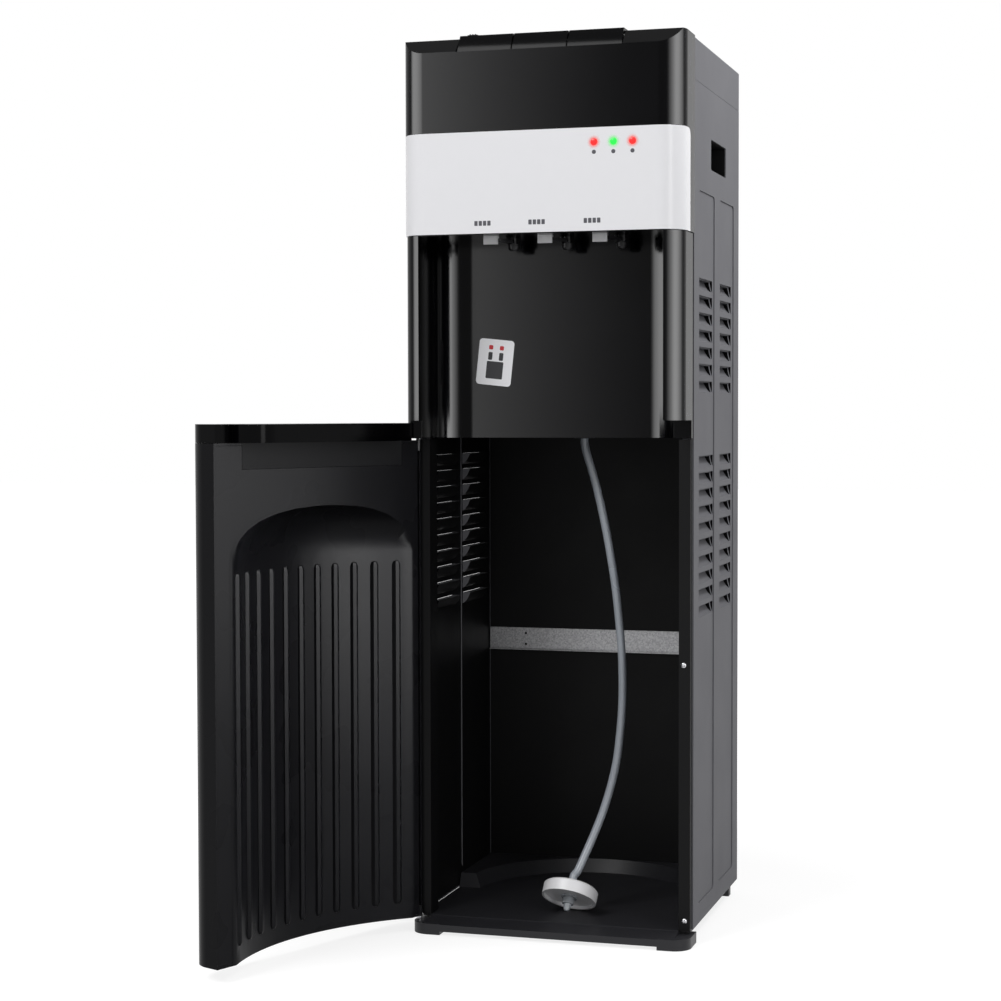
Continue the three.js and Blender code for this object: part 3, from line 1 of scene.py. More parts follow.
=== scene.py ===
# Bottom load water cooler: camera, light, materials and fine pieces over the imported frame.
import math
import bmesh
import bpy
from mathutils import Matrix, Vector


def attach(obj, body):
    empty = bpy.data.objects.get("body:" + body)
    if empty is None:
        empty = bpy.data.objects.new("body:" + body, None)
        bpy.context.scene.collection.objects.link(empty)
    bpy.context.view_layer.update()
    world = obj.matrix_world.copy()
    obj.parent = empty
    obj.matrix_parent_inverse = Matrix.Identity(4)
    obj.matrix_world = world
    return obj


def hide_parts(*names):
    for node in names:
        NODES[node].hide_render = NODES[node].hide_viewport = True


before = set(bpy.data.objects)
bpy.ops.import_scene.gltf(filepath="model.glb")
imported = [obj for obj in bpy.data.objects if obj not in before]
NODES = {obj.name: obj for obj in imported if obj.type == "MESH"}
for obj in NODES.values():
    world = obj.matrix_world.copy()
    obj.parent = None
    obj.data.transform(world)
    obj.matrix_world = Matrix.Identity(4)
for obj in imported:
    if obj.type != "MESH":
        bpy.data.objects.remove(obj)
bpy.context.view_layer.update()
scene = bpy.context.scene
MM = 0.001                                             # metres in a millimetre
FRONT = (0, -1, 0)
REAR = (0, 1, 0)
DRINKS = ("hot", "warm", "cold")

# ---------------------------------------------------------------- camera
LENS = 77.73                                           # mm, on a film of FILM mm
FILM = 36
PICTURE = 1001                                         # pixels
EYE = (0.6382, -2.5088, 0.5987)
RIGHT = Vector((0.958869, 0.283841, -0.002073))
UP = Vector((-0.009579, 0.039657, 0.999167))
BACK = -Vector((-0.283687, 0.958051, -0.040745))

camera_data = bpy.data.cameras.new("camera")
camera = bpy.data.objects.new("camera", camera_data)
scene.collection.objects.link(camera)
camera_data.lens = LENS
camera_data.sensor_width = FILM
camera_data.clip_end = 50
camera.matrix_world = Matrix.Translation(EYE) @ Matrix((RIGHT, UP, BACK)).transposed().to_4x4()
scene.camera = camera
scene.render.resolution_x = PICTURE
scene.render.resolution_y = PICTURE
scene.view_settings.view_transform = "Standard"


# ---------------------------------------------------------------- makers for materials
def linear(hex_colour):
    values = [int(hex_colour[i:i + 2], 16) / 255 for i in (1, 3, 5)]
    return [v / 12.92 if v <= 0.04045 else ((v + 0.055) / 1.055) ** 2.4 for v in values] + [1]


def scaled(hex_colour, factor):
    return [min(channel * factor, 1) for channel in linear(hex_colour)[:3]] + [1]


def fill(tree, socket, value):
    """Gives a socket a value, or the output of another node."""
    if isinstance(value, bpy.types.NodeSocket):
        tree.links.new(value, socket)
    else:
        socket.default_value = value


def add_node(tree, kind, **sockets):
    """A new shader node; a socket's name is written with _ for each space."""
    made = tree.nodes.new("ShaderNode" + kind)
    for name, value in sockets.items():
        fill(tree, made.inputs[name.replace("_", " ")], value)
    return made


def calc(tree, operation, *values):
    """The output of a Math node over numbers and sockets."""
    made = tree.nodes.new("ShaderNodeMath")
    made.operation = operation
    for socket, value in zip(made.inputs, values):
        fill(tree, socket, value)
    return made.outputs[0]


def mix_shaders(tree, share, first, second):
    made = add_node(tree, "MixShader", Fac=share)
    tree.links.new(first, made.inputs[1])
    tree.links.new(second, made.inputs[2])
    return made.outputs[0]


def object_place(tree):
    return add_node(tree, "TexCoord").outputs["Object"]


def empty_tree(block):
    block.use_nodes = True
    block.node_tree.nodes.clear()
    return block.node_tree


RELIEF = 0.0002                                        # m, height of the fine relief
BROAD_GRAIN = 14                                       # scale per metre of the roughness's variation
ROUGH_SPREAD = 0.15


def material(name, colour, rough, metal=0.0, grain=None, bump=0.0, shade=0.0, specular=0.5, **extra):
    """A surface whose colour and roughness vary a little, with a fine relief of grain cells per metre."""
    mat = bpy.data.materials.new(name)
    mat.use_nodes = True
    tree = mat.node_tree
    shader = tree.nodes["Principled BSDF"].inputs
    shader["Base Color"].default_value = linear(colour)
    shader["Roughness"].default_value = rough
    shader["Metallic"].default_value = metal
    shader["Specular IOR Level"].default_value = specular
    for key, value in extra.items():
        shader[key.replace("_", " ")].default_value = value
    if not grain:
        return mat
    place = object_place(tree)
    fine = add_node(tree, "TexNoise", Vector=place, Scale=grain, Detail=4).outputs["Fac"]
    if bump:
        relief = add_node(tree, "Bump", Strength=bump, Distance=RELIEF, Height=fine)
        fill(tree, shader["Normal"], relief.outputs["Normal"])
    broad = add_node(tree, "TexNoise", Vector=place, Scale=BROAD_GRAIN).outputs["Fac"]
    span = add_node(tree, "MapRange", Value=broad, To_Min=rough * (1 - ROUGH_SPREAD),
                    To_Max=rough * (1 + ROUGH_SPREAD))
    fill(tree, shader["Roughness"], span.outputs["Result"])
    if shade:
        mix = add_node(tree, "MixRGB", Fac=fine, Color1=scaled(colour, 1 - shade),
                       Color2=scaled(colour, 1 + shade))
        fill(tree, shader["Base Color"], mix.outputs["Color"])
    return mat


def glow(name, colour, strength):
    return material(name, colour, 0.25, grain=300, bump=0.05,
                    Emission_Color=linear(colour), Emission_Strength=strength)


SPANGLE_SCALE = 620                                    # crystals per metre
SPANGLE_DARK = 0.68                                    # darkest and brightest crystal, shares of the colour
SPANGLE_BRIGHT = 1.25


def spangle(name, colour, rough):
    """Galvanised steel, with flat crystals between two shades."""
    mat = material(name, colour, rough, metal=0.85)
    tree = mat.node_tree
    cells = add_node(tree, "TexVoronoi", Vector=object_place(tree), Scale=SPANGLE_SCALE)
    ramp = add_node(tree, "ValToRGB", Fac=cells.outputs["Color"])
    for element, factor in zip(ramp.color_ramp.elements, (SPANGLE_DARK, SPANGLE_BRIGHT)):
        element.color = scaled(colour, factor)
    fill(tree, tree.nodes["Principled BSDF"].inputs["Base Color"], ramp.outputs["Color"])
    return mat


# ---------------------------------------------------------------- louvres of the side panels
LOUVRE_GROUPS = ((749.8, 19.34), (548.8, 18.96))       # top edge and pitch of the upper and the lower rows
LOUVRE_BREAK = 600                                     # height between the two groups
LOUVRE_HEIGHT = 13
LOUVRE_FACE = 159.8                                    # x of the sunk fields that the louvres are pressed in
LOUVRE_DEPTH = 10
SHINE_START = 0.36                                     # the shine's place at the top, a share of the depth
SHINE_DROP = 0.3
SHINE_BEND = 1.6
SHINE_HALF = 0.075
# painted dark reflection: the near-black base colour of the louvres' end walls
END_PAINTED_DARK = "#040405"


def louvre_end_painted_light():
    """Drawn end wall of a louvre, with painted light in its base colour: a near-black painted dark
    reflection, and a painted highlight where the light is caught in its curve.
    """
    mat = material("louvre_end_painted_light", END_PAINTED_DARK, 0.25, grain=400, bump=0.05, specular=0.2)
    tree = mat.node_tree
    place = add_node(tree, "SeparateXYZ", Vector=object_place(tree)).outputs
    x = calc(tree, "MULTIPLY", calc(tree, "ABSOLUTE", place["X"]), 1 / MM)
    z = calc(tree, "MULTIPLY", place["Z"], 1 / MM)
    depth = calc(tree, "DIVIDE", calc(tree, "SUBTRACT", LOUVRE_FACE, x), LOUVRE_DEPTH)

    low = calc(tree, "LESS_THAN", z, LOUVRE_BREAK)
    top, pitch = (calc(tree, "SUBTRACT", upper, calc(tree, "MULTIPLY", low, upper - lower))
                  for upper, lower in zip(*LOUVRE_GROUPS))
    down = calc(tree, "MODULO", calc(tree, "ADD", calc(tree, "SUBTRACT", top, z), 0.01), pitch)
    fall = calc(tree, "DIVIDE", down, LOUVRE_HEIGHT)

    drop = calc(tree, "MULTIPLY", calc(tree, "POWER", fall, SHINE_BEND), SHINE_DROP)
    off = calc(tree, "ABSOLUTE", calc(tree, "SUBTRACT", depth, calc(tree, "SUBTRACT", SHINE_START, drop)))
    near = calc(tree, "SUBTRACT", 1.0, calc(tree, "DIVIDE", off, SHINE_HALF))
    lit = calc(tree, "MAXIMUM", near, 0.0)
    # painted highlight: a bright crescent mixed into the near-black base colour
    mix = add_node(tree, "MixRGB", Fac=lit, Color1=linear(END_PAINTED_DARK), Color2=linear("#C8C8D0"))
    fill(tree, tree.nodes["Principled BSDF"].inputs["Base Color"], mix.outputs["Color"])
    return mat


# ---------------------------------------------------------------- materials
GLOSS_BLACK = material("gloss_black", "#020203", 0.13, grain=60, bump=0.02, specular=0.06)
SATIN_BLACK = material("satin_black", "#18181A", 0.42, grain=1400, bump=0.25, specular=0.3)
DOOR_SATIN = material("door_satin", "#101012", 0.28, grain=1400, bump=0.12, specular=0.05)
BASE_SATIN = material("base_satin", "#232326", 0.42, grain=1400, bump=0.25, specular=0.3)
INNER_BLACK = material("inner_black", "#0B0B0C", 0.5, grain=1400, bump=0.2, specular=0.12)
PAINT = material("charcoal_paint", "#6C6C70", 0.5, grain=1800, bump=0.12, specular=0.03)
WHITE = material("white_plastic", "#E9E9EC", 0.2, grain=80, bump=0.01, shade=0.01, specular=0.2)
WHITE_MATT = material("white_satin", "#E8E8EA", 0.4, grain=900, bump=0.08, shade=0.01)
ZINC = spangle("galvanised", "#A0A0A2", 0.45)
STEEL = material("bright_steel", "#BDBDC0", 0.28, metal=1.0, grain=500, bump=0.1, shade=0.05)
COPPER = material("copper", "#B06A3A", 0.3, metal=1.0, grain=300, bump=0.1, shade=0.1)
RUBBER = material("rubber", "#17171A", 0.75, grain=900, bump=0.3, shade=0.1)
FOAM = material("foam", "#D6D0C0", 0.9, grain=500, bump=0.8, shade=0.08)
BOARD = material("circuit_board", "#1D5A33", 0.5, grain=600, bump=0.2, shade=0.2)
HOSE = material("clear_hose", "#B8BEC6", 0.26, grain=200, bump=0.05, shade=0.04, Transmission_Weight=0.35)
CLEAR = material("clear_plastic", "#D5DADF", 0.15, grain=200, bump=0.03, Transmission_Weight=0.6)
RED_LED = glow("red_lamp", "#F01818", 1.2)
GREEN_LED = glow("green_lamp", "#18C83E", 1.0)
LOUVRE_END_PAINTED_LIGHT = louvre_end_painted_light()
RED_PLASTIC = material("red_plastic", "#C01818", 0.3, grain=400, bump=0.05, shade=0.03)
GREEN_PLASTIC = material("green_plastic", "#16913A", 0.3, grain=400, bump=0.05, shade=0.03)
MARK = material("print_grey", "#48484E", 0.5, grain=300, bump=0.02)
STICKER = material("sticker_white", "#E9E9EC", 0.35, grain=300, bump=0.02, shade=0.01)
INK = material("sticker_ink", "#16161A", 0.4, grain=300, bump=0.02)
INK_RED = material("sticker_red", "#B3202A", 0.4, grain=300, bump=0.02)


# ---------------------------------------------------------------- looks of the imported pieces
def each(name):
    return [f"{name}_{drink}" for drink in DRINKS]


LOOKS = (
    (BASE_SATIN, ["base"]),
    (PAINT, ["side_panel_right", "side_panel_left", "top_cover", "rear_panel_upper"]),
    (INNER_BLACK, ["handle_cup_right", "handle_cup_left", "frame_strip_right", "frame_strip_left", "mid_deck",
                   "rear_panel_lower"]),
    (GLOSS_BLACK, ["front_cap", "niche_cover", "child_lock_slider", "door_shelf", *each("key")]),
    (DOOR_SATIN, ["door_shell", "door_liner"]),
    (SATIN_BLACK, ["front_chassis", "compressor", "pump", "control_box", "condenser", "drip_tray",
                   "hinge_pin_upper", "drain_spout", "drain_cap", *each("tap"), *each("tap_lever")]),
    (WHITE, ["control_panel"]),
    (WHITE_MATT, ["bottle_cap", *each("push_rod")]),
    (RED_LED, ["led_heating", "led_cooling"]),
    (GREEN_LED, ["led_power"]),
    (BOARD, ["indicator_board"]),
    (STEEL, ["key_rod", "hot_tank", "drip_grid", "hinge_pin_lower"]),
    (ZINC, ["rear_cross_brace", "tank_shelf"]),
    (RUBBER, ["hose_grommet", "cord_gland"]),
    (FOAM, ["cold_tank"]),
    (HOSE, ["suction_tube", "supply_tube", "hose"]),
    (COPPER, ["suction_line"]),
    (CLEAR, ["cap_spike"]),
    (RED_PLASTIC, ["switch_rocker_hot"]),
    (GREEN_PLASTIC, ["switch_rocker_cold"]),
)
ROUNDING = {"control_panel": 0.6, "front_cap": 0.5, "niche_cover": 0.7, "top_cover": 0.4, "base": 0.8,
            "door_shell": 0.8, "door_liner": 0.8, "door_shelf": 1.0, **dict.fromkeys(each("key"), 0.7)}
PLAIN_ROUNDING = 0.25
PRESSED = ("side_panel_right", "side_panel_left")      # flat sheet with many cut-outs: no rounding
SHARP = 32                                             # degrees between faces that make an edge


def soften(obj, width):
    """Small rounded edges and smooth shading over the curved faces of a solid."""
    mesh = obj.data
    if "custom_normal" in mesh.attributes:
        mesh.attributes.remove(mesh.attributes["custom_normal"])
    for face in mesh.polygons:
        face.use_smooth = True
    weld = obj.modifiers.new("weld", "WELD")
    weld.merge_threshold = 0.00001
    if width:
        flat = obj.modifiers.new("flat", "DECIMATE")
        flat.decimate_type = "DISSOLVE"
        flat.angle_limit = math.radians(0.6)
        bevel = obj.modifiers.new("bevel", "BEVEL")
        bevel.width = width * MM
        bevel.segments = 2
        bevel.limit_method = "ANGLE"
        bevel.angle_limit = math.radians(SHARP)
    split = obj.modifiers.new("split", "EDGE_SPLIT")
    split.split_angle = math.radians(SHARP)
    if width:
        normal = obj.modifiers.new("normal", "WEIGHTED_NORMAL")
        normal.keep_sharp = True


for look, names in LOOKS:
    for name in names:
        mesh = NODES[name].data
        mesh.materials.clear()
        mesh.materials.append(look)
        soften(NODES[name], 0 if name in PRESSED else ROUNDING.get(name, PLAIN_ROUNDING))


def second_look(name, look, chosen):
    """Gives the faces that chosen(centre, normal) picks, in millimetres, a second material."""
    obj = NODES[name]
    obj.data.materials.append(look)
    to_world = obj.matrix_world
    turn = to_world.to_3x3()
    for face in obj.data.polygons:
        if chosen(to_world @ face.center / MM, (turn @ face.normal).normalized()):
            face.material_index = len(obj.data.materials) - 1


COLUMN_ENDS = (-106, -27, 18.6, 92, -105, -21.6, 19, 92.6)     # y of both ends of each column of louvres
PANEL_INSIDE = 160.4                                   # the side panels' inner faces are nearer than this
SHELF_RIM = 566.9                                      # the door's shelf is satin below its glossy rim


def is_louvre_end(centre, normal):
    inside = LOUVRE_FACE - LOUVRE_DEPTH - 0.5 < abs(centre.x) < LOUVRE_FACE - 0.2
    return abs(normal.y) > 0.9 and inside and any(abs(centre.y - y) < 0.3 for y in COLUMN_ENDS)


def is_inner_face(centre, normal):
    return abs(centre.x) < PANEL_INSIDE and normal.x * centre.x < -0.25 * abs(centre.x)


# the louvres' end walls get the material with the painted dark reflection and painted highlight
for name in PRESSED:
    second_look(name, LOUVRE_END_PAINTED_LIGHT, is_louvre_end)
    second_look(name, INNER_BLACK, is_inner_face)
second_look("door_shelf", SATIN_BLACK, lambda centre, normal: centre.z < SHELF_RIM)


# ---------------------------------------------------------------- small makers
def piece(name, mesh, body, look):
    obj = bpy.data.objects.new(name, mesh)
    scene.collection.objects.link(obj)
    mesh.materials.append(look)
    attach(obj, body)
    return obj


def circle(radius, sides):
    turns = [2 * math.pi * i / sides for i in range(sides)]
    return [(radius * math.cos(a), radius * math.sin(a)) for a in turns]


def turned(name, profile, at, axis, body, look, sides):
    """A turned piece from (radius, height) pairs in millimetres along axis from at."""
    mesh = bpy.data.meshes.new(name)
    work = bmesh.new()
    rings = []
    for radius, height in profile:
        ring = [(0, 0)] if radius == 0 else circle(radius, sides)
        rings.append([work.verts.new((x * MM, y * MM, height * MM)) for x, y in ring])
    for low, high in zip(rings, rings[1:]):
        for i in range(sides):
            j = (i + 1) % sides
            corners = [low[i % len(low)], low[j % len(low)], high[j % len(high)], high[i % len(high)]]
            unique = list(dict.fromkeys(corners))
            if len(unique) > 2:
                work.faces.new(unique)
    bmesh.ops.recalc_face_normals(work, faces=work.faces)
    lean = Vector((0, 0, 1)).rotation_difference(Vector(axis)).to_matrix().to_4x4()
    work.transform(Matrix.Translation(Vector(at) * MM) @ lean)
    for face in work.faces:
        face.smooth = True
    work.to_mesh(mesh)
    work.free()
    obj = piece(name, mesh, body, look)
    split = obj.modifiers.new("split", "EDGE_SPLIT")
    split.split_angle = math.radians(35)
    return obj


def plate(name, outline, thick, place, body, look):
    """A flat piece with an outline in millimetres, raised by thick and put there by the matrix place."""
    mesh = bpy.data.meshes.new(name)
    work = bmesh.new()
    low = [work.verts.new((x * MM, y * MM, 0)) for x, y in outline]
    high = [work.verts.new((x * MM, y * MM, thick * MM)) for x, y in outline]
    work.faces.new(list(reversed(low)))
    work.faces.new(high)
    for i in range(len(outline)):
        j = (i + 1) % len(outline)
        work.faces.new((low[i], low[j], high[j], high[i]))
    bmesh.ops.recalc_face_normals(work, faces=work.faces)
    work.transform(place)
    work.to_mesh(mesh)
    work.free()
    return piece(name, mesh, body, look)


def bars(name, boxes, body, look, bevel):
    """Several straight bars in one piece, from (x0, x1, y0, y1, z0, z1) in millimetres."""
    mesh = bpy.data.meshes.new(name)
    work = bmesh.new()
    for x0, x1, y0, y1, z0, z1 in boxes:
        middle = Vector(((x0 + x1) / 2, (y0 + y1) / 2, (z0 + z1) / 2))
        size = Vector((x1 - x0, y1 - y0, z1 - z0))
        for vert in bmesh.ops.create_cube(work, size=1)["verts"]:
            vert.co = (middle + vert.co * size) * MM
    work.to_mesh(mesh)
    work.free()
    obj = piece(name, mesh, body, look)
    round_off = obj.modifiers.new("bevel", "BEVEL")
    round_off.width = bevel * MM
    round_off.segments = 2
    return obj


def rounded(width, height, radius, steps):
    """Outline of a rectangle with round corners about the origin."""
    points = []
    for cx, cy, start in ((1, -1, -90), (1, 1, 0), (-1, 1, 90), (-1, -1, 180)):
        for i in range(steps + 1):
            a = math.radians(start + 90 * i / steps)
            points.append((cx * (width / 2 - radius) + radius * math.cos(a),
                           cy * (height / 2 - radius) + radius * math.sin(a)))
    return points


def facing(at, normal, up=(0, 0, 1), spin=0.0):
    """Matrix that lays a flat piece at a point in millimetres, its raised side along normal."""
    z = Vector(normal).normalized()
    x = Vector(up).cross(z).normalized()
    y = z.cross(x)
    axes = Matrix((x, y, z)).transposed().to_4x4()
    return Matrix.Translation(Vector(at) * MM) @ axes @ Matrix.Rotation(math.radians(spin), 4, "Z")


# ---------------------------------------------------------------- hose
HOSE_RADIUS = 4.75
CAP_AXIS = Vector((0.068, 0.549, 0.833)).normalized()
CAP_CENTRE = Vector((8.5, -107.3, 35.2))
CAP_TOP = 21.3
ROUTE = [
    (10, -37, 567.7), (10.2, -37, 561), (12.6, -37.2, 550), (18.5, -37, 531), (26.5, -36.1, 501),
    (33.6, -34.8, 468), (39.8, -33.7, 434), (46.6, -32.9, 389), (50.8, -32.4, 349), (54.1, -33.7, 313),
    (55.3, -36.1, 260), (53.6, -41, 220), (50.5, -46.5, 187), (44.5, -53.5, 156), (37, -61.5, 128),
    (28.5, -70.5, 103), (20.5, -80.5, 81), (14.2, -89.5, 64.5),
    tuple(CAP_CENTRE + CAP_AXIS * (CAP_TOP + 8)), tuple(CAP_CENTRE + CAP_AXIS * CAP_TOP),
]


def smooth_line(points, steps):
    """Centripetal Catmull-Rom line through the points."""
    pts = [Vector(p) for p in points]
    pts = [pts[0] * 2 - pts[1]] + pts + [pts[-1] * 2 - pts[-2]]
    line = []
    for a, b, c, d in zip(pts, pts[1:], pts[2:], pts[3:]):
        t1 = (b - a).length ** 0.5
        t2 = t1 + (c - b).length ** 0.5
        t3 = t2 + (d - c).length ** 0.5
        for i in range(steps):
            t = t1 + (t2 - t1) * i / steps
            ab = a.lerp(b, t / t1)
            bc = b.lerp(c, (t - t1) / (t2 - t1))
            cd = c.lerp(d, (t - t2) / (t3 - t2))
            abc = ab.lerp(bc, t / t2)
            bcd = bc.lerp(cd, (t - t1) / (t3 - t1))
            line.append(abc.lerp(bcd, (t - t1) / (t2 - t1)))
    line.append(pts[-2])
    return line


def tube_curve(name, line, radius, look):
    curve = bpy.data.curves.new(name, "CURVE")
    curve.dimensions = "3D"
    curve.bevel_depth = radius * MM
    curve.bevel_resolution = 6
    curve.use_fill_caps = True
    spline = curve.splines.new("POLY")
    spline.points.add(len(line) - 1)
    for point, at in zip(spline.points, line):
        point.co = (*(Vector(at) * MM), 1)
    spline.use_smooth = True
    curve.materials.append(look)
    obj = bpy.data.objects.new(name, curve)
    scene.collection.objects.link(obj)
    return obj


hose_line = smooth_line(ROUTE, 6)
hose = tube_curve("bottle_hose", hose_line, HOSE_RADIUS, HOSE)
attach(hose, "cabinet")
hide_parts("hose")

# ---------------------------------------------------------------- marks on the white panel
PANEL_Y = -205.0                                       # the panel's outer face
MARK_Y = PANEL_Y - 0.02
HALO_Y = PANEL_Y - 0.05
MARK_THICK = 0.06
KEY_MARK_Z = 808.3
KEY_MARK_X = {"hot": -64.2, "warm": -1.9, "cold": 61.0}
BAR_COUNT = 4                                          # bars in each key's mark
BAR_PITCH = 5.0
BAR = rounded(3.8, 5.4, 0.5, 3)
DOT = rounded(4.6, 4.6, 2.2, 4)
DOT_Z = 882.6
LAMP_Z = 893.4
RED_HALO = "#FF6A60"
LAMPS = (("heating", 63.1, RED_HALO), ("power", 84.9, "#7CFF8C"), ("cooling", 106.3, RED_HALO))

for drink, x in KEY_MARK_X.items():
    for i in range(BAR_COUNT):
        bar_x = x + (i - (BAR_COUNT - 1) / 2) * BAR_PITCH
        plate(f"key_mark_{drink}_{i}", BAR, MARK_THICK, facing((bar_x, MARK_Y, KEY_MARK_Z), FRONT),
              "cabinet", MARK)
for i, (_, x, _) in enumerate(LAMPS):
    plate(f"lamp_mark_{i}", DOT, MARK_THICK, facing((x, MARK_Y, DOT_Z), FRONT),
          "cabinet", MARK)

# ---------------------------------------------------------------- sticker in the niche
STICKER_PLACE = facing((-78.2, -109.98, 656.4), FRONT, spin=-6.0)
BLOCKS = (                                             # x, y, width, height and look
    (0, -9, 20, 20, INK), (-6.5, 7, 5, 9, INK), (6.5, 7, 5, 9, INK),
    (-6.5, 17, 5, 5, INK_RED), (6.5, 17, 5, 5, INK_RED),
)

plate("niche_sticker", rounded(42, 53, 4, 6), 0.12, STICKER_PLACE, "cabinet", STICKER)
for i, (x, y, width, height, look) in enumerate(BLOCKS):
    plate(f"niche_sticker_block_{i}", rounded(width, height, 1.2, 4), 0.16,
          STICKER_PLACE @ Matrix.Translation((x * MM, y * MM, 0)), "cabinet", look)

# ---------------------------------------------------------------- glow round the lamps
HALO_REACH = 8.5                                       # the glow ends at this distance from the lamp
HALO_DISC = circle(8.4, 24)


def halo(name, x, colour):
    """Soft coloured light that a lit lamp throws on the panel round it."""
    mat = bpy.data.materials.new(name)
    tree = empty_tree(mat)
    centre = Vector((x, PANEL_Y, LAMP_Z))
    shift = add_node(tree, "Mapping", Vector=object_place(tree), Location=-centre / HALO_REACH,
                     Scale=[1 / (HALO_REACH * MM)] * 3)
    ball = add_node(tree, "TexGradient", Vector=shift.outputs["Vector"])
    ball.gradient_type = "QUADRATIC_SPHERE"
    emit = add_node(tree, "Emission", Color=linear(colour), Strength=1.0)
    clear = add_node(tree, "BsdfTransparent")
    surface = mix_shaders(tree, ball.outputs["Fac"], clear.outputs[0], emit.outputs[0])
    add_node(tree, "OutputMaterial", Surface=surface)
    plate(name, HALO_DISC, 0.02, facing((x, HALO_Y, LAMP_Z), FRONT), "cabinet", mat)


for lamp_name, x, colour in LAMPS:
    halo(f"halo_{lamp_name}", x, colour)

# ---------------------------------------------------------------- screws
HEAD = [(0, 1.5), (1.0, 1.5), (1.2, 0.9), (1.5, 0.9), (1.8, 1.4), (2.6, 1.0), (3.1, 0.35), (3.1, 0)]
SLOT = rounded(3.4, 0.7, 0.2, 2)
SLOT_LIFT = 0.9
SLOT_THICK = 0.35
FRONT_SCREWS = [(152.6, -147.0, 28), (151.5, -147.0, 316)]
REAR_SCREWS = [(x, 138.02, z) for x in (-151.5, 151.5) for z in (60, 300, 540, 610, 790, 940)]


def screw(name, at, axis):
    turned(name, HEAD, at, axis, "cabinet", STEEL, 24)
    lift = Vector(at) + Vector(axis) * SLOT_LIFT
    for i in range(2):
        plate(f"{name}_slot_{i}", SLOT, SLOT_THICK, facing(lift, axis, spin=45 + 90 * i),
              "cabinet", INK)


for side, places, axis in (("front", FRONT_SCREWS, FRONT), ("rear", REAR_SCREWS, REAR)):
    for i, at in enumerate(places):
        screw(f"{side}_screw_{i}", at, axis)

# ---------------------------------------------------------------- condenser wires
WIRE_COUNT = 30
WIRE_PITCH = 7.5
WIRE_HALF = 0.7
WIRE_LAYERS = ((148.3, 149.6), (142.3, 143.5))         # y of the wires behind and before the tube
WIRE_Z = (628, 924)

wires = []
for i in range(WIRE_COUNT):
    x = (i - (WIRE_COUNT - 1) / 2) * WIRE_PITCH
    wires += [(x - WIRE_HALF, x + WIRE_HALF, *layer, *WIRE_Z) for layer in WIRE_LAYERS]
bars("condenser_wires", wires, "cabinet", SATIN_BLACK, 0.4)

# ---------------------------------------------------------------- world and floor
AMBIENT = 0.35                                         # strength of the world's light on the object
BACKDROP = 1.0                                         # white, where the world or the floor is seen
FLOOR_GREY = (0.28, 0.28, 0.28, 1)
FLOOR_GLOW = 0.8                                       # under the object, where the floor shows its shadow
GLOW_FROM = 0.35                                       # m from the origin, where the floor starts to whiten
GLOW_TO = 1.1
FLOOR_HALF = 14
FLOOR_DROP = 0.0005


def seen_share(tree):
    """1 for rays that show the background itself, from the camera, through clear pieces or off shiny ones."""
    path = add_node(tree, "LightPath").outputs
    direct = calc(tree, "MAXIMUM", path["Is Camera Ray"], path["Is Transmission Ray"])
    return calc(tree, "MAXIMUM", direct, path["Is Glossy Ray"])


world = bpy.data.worlds.new("world")
scene.world = world
tree = empty_tree(world)
plain = add_node(tree, "Background", Color=(1, 1, 1, 1), Strength=AMBIENT)
bright = add_node(tree, "Background", Color=(1, 1, 1, 1), Strength=BACKDROP)
surface = mix_shaders(tree, seen_share(tree), plain.outputs[0], bright.outputs[0])
add_node(tree, "OutputWorld", Surface=surface)

floor_mat = bpy.data.materials.new("floor")
tree = empty_tree(floor_mat)
reach = tree.nodes.new("ShaderNodeVectorMath")
reach.operation = "LENGTH"
fill(tree, reach.inputs[0], object_place(tree))
grow = add_node(tree, "MapRange", Value=reach.outputs["Value"], From_Min=GLOW_FROM, From_Max=GLOW_TO,
                To_Min=FLOOR_GLOW, To_Max=BACKDROP)
diffuse = add_node(tree, "BsdfDiffuse", Color=FLOOR_GREY)
light = add_node(tree, "Emission", Strength=grow.outputs["Result"])
both = add_node(tree, "AddShader")
tree.links.new(diffuse.outputs[0], both.inputs[0])
tree.links.new(light.outputs[0], both.inputs[1])
surface = mix_shaders(tree, seen_share(tree), diffuse.outputs[0], both.outputs[0])
add_node(tree, "OutputMaterial", Surface=surface)

mesh = bpy.data.meshes.new("floor")
corners = [(x * FLOOR_HALF, y * FLOOR_HALF, 0) for x, y in ((-1, -1), (1, -1), (1, 1), (-1, 1))]
mesh.from_pydata(corners, [], [(0, 1, 2, 3)])
mesh.materials.append(floor_mat)
floor = bpy.data.objects.new("floor", mesh)
floor.location.z = -FLOOR_DROP
scene.collection.objects.link(floor)


# ---------------------------------------------------------------- lamps
def lamp(name, at, target, width, height, power):
    data = bpy.data.lights.new(name, "AREA")
    data.shape = "RECTANGLE"
    data.size = width
    data.size_y = height
    data.energy = power
    obj = bpy.data.objects.new(name, data)
    obj.location = at
    obj.rotation_euler = (Vector(target) - Vector(at)).to_track_quat("-Z", "Y").to_euler()
    scene.collection.objects.link(obj)
    return obj


def grey(value):
    return (value, value, value, 1)


def only_on(name, belongs):
    """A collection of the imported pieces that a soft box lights."""
    chosen = bpy.data.collections.new(name)
    for obj in NODES.values():
        if belongs(obj):
            chosen.objects.link(obj)
    return chosen


BOX_CENTRE_Y = -0.2                                    # the soft boxes stand round this point
BOX_HEIGHT = 2.4
BOX_LOW = 0.02


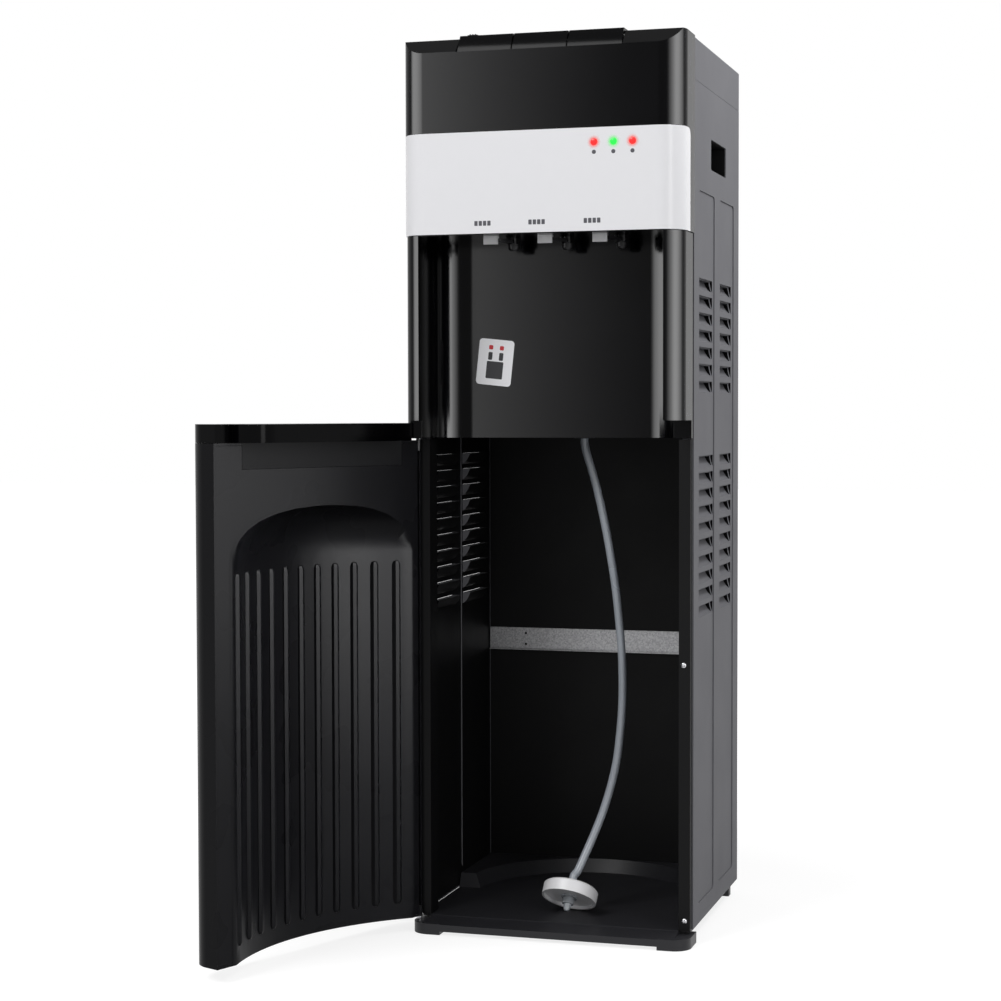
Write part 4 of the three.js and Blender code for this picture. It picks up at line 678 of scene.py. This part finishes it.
def softbox(name, receivers, azimuth, distance, width, radiance, fade):
    """Tall light that shows in the glossy parts; fade is its strength from left to right."""
    a = math.radians(azimuth)
    z = BOX_LOW + BOX_HEIGHT / 2
    at = (distance * math.sin(a), BOX_CENTRE_Y - distance * math.cos(a), z)
    obj = lamp(name, at, (0, BOX_CENTRE_Y, z), width, BOX_HEIGHT, 1.0)
    obj.visible_diffuse = False
    obj.light_linking.receiver_collection = receivers
    obj.data.use_nodes = True
    tree = obj.data.node_tree
    place = add_node(tree, "NewGeometry")
    split = add_node(tree, "SeparateXYZ", Vector=place.outputs["Parametric"])
    ramp = add_node(tree, "ValToRGB", Fac=split.outputs["X"])
    elements = ramp.color_ramp.elements
    for element, (position, level) in zip(elements, (fade[0], fade[-1])):
        element.position = position
        element.color = grey(level)
    for position, level in fade[1:-1]:
        elements.new(position).color = grey(level)
    strength = calc(tree, "MULTIPLY", ramp.outputs["Color"], radiance * math.pi * width * BOX_HEIGHT)
    fill(tree, tree.nodes["Emission"].inputs["Strength"], strength)


SHINY = only_on("shiny_pieces", lambda obj: obj.data.materials[0] == GLOSS_BLACK and obj.name != "door_shelf")
DOOR_SKIN = only_on("door_pieces", lambda obj: obj.data.materials[0] == DOOR_SATIN)
LEFT_FADE = [(0.0, 0.0), (0.07, 0.3), (0.2, 0.75), (0.33, 0.95), (0.48, 1.0), (0.7, 0.72), (0.81, 0.34),
             (0.85, 0.17), (0.91, 0.065), (0.97, 0.0)]
RIGHT_FADE = [(0.0, 0.0), (0.03, 0.01), (0.2, 0.11), (0.295, 0.35), (0.39, 0.78), (0.48, 1.0), (0.585, 0.83),
              (0.7, 0.43), (0.86, 0.1), (0.99, 0.0)]
EVEN = [(0.0, 1.0), (1.0, 1.0)]

lamp("key", (-1.5, -2.6, 3.2), (0, -0.1, 0.6), 1.6, 1.6, 97)
lamp("fill", (2.6, -2.4, 1.4), (0, 0, 0.6), 1.0, 2.0, 34)
lamp("side", (0.85, 0.1, 1.6), (0.16, 0, 0.7), 0.4, 0.4, 9)
softbox("left_box", SHINY, -46, 2.4, 3.49, 36, LEFT_FADE)
softbox("right_box", SHINY, 78, 2.4, 4.97, 46, RIGHT_FADE)
softbox("door_wash", DOOR_SKIN, 78, 2.4, 4.97, 22, RIGHT_FADE)
softbox("door_box", DOOR_SKIN, 45, 2.6, 0.8, 22, EVEN)
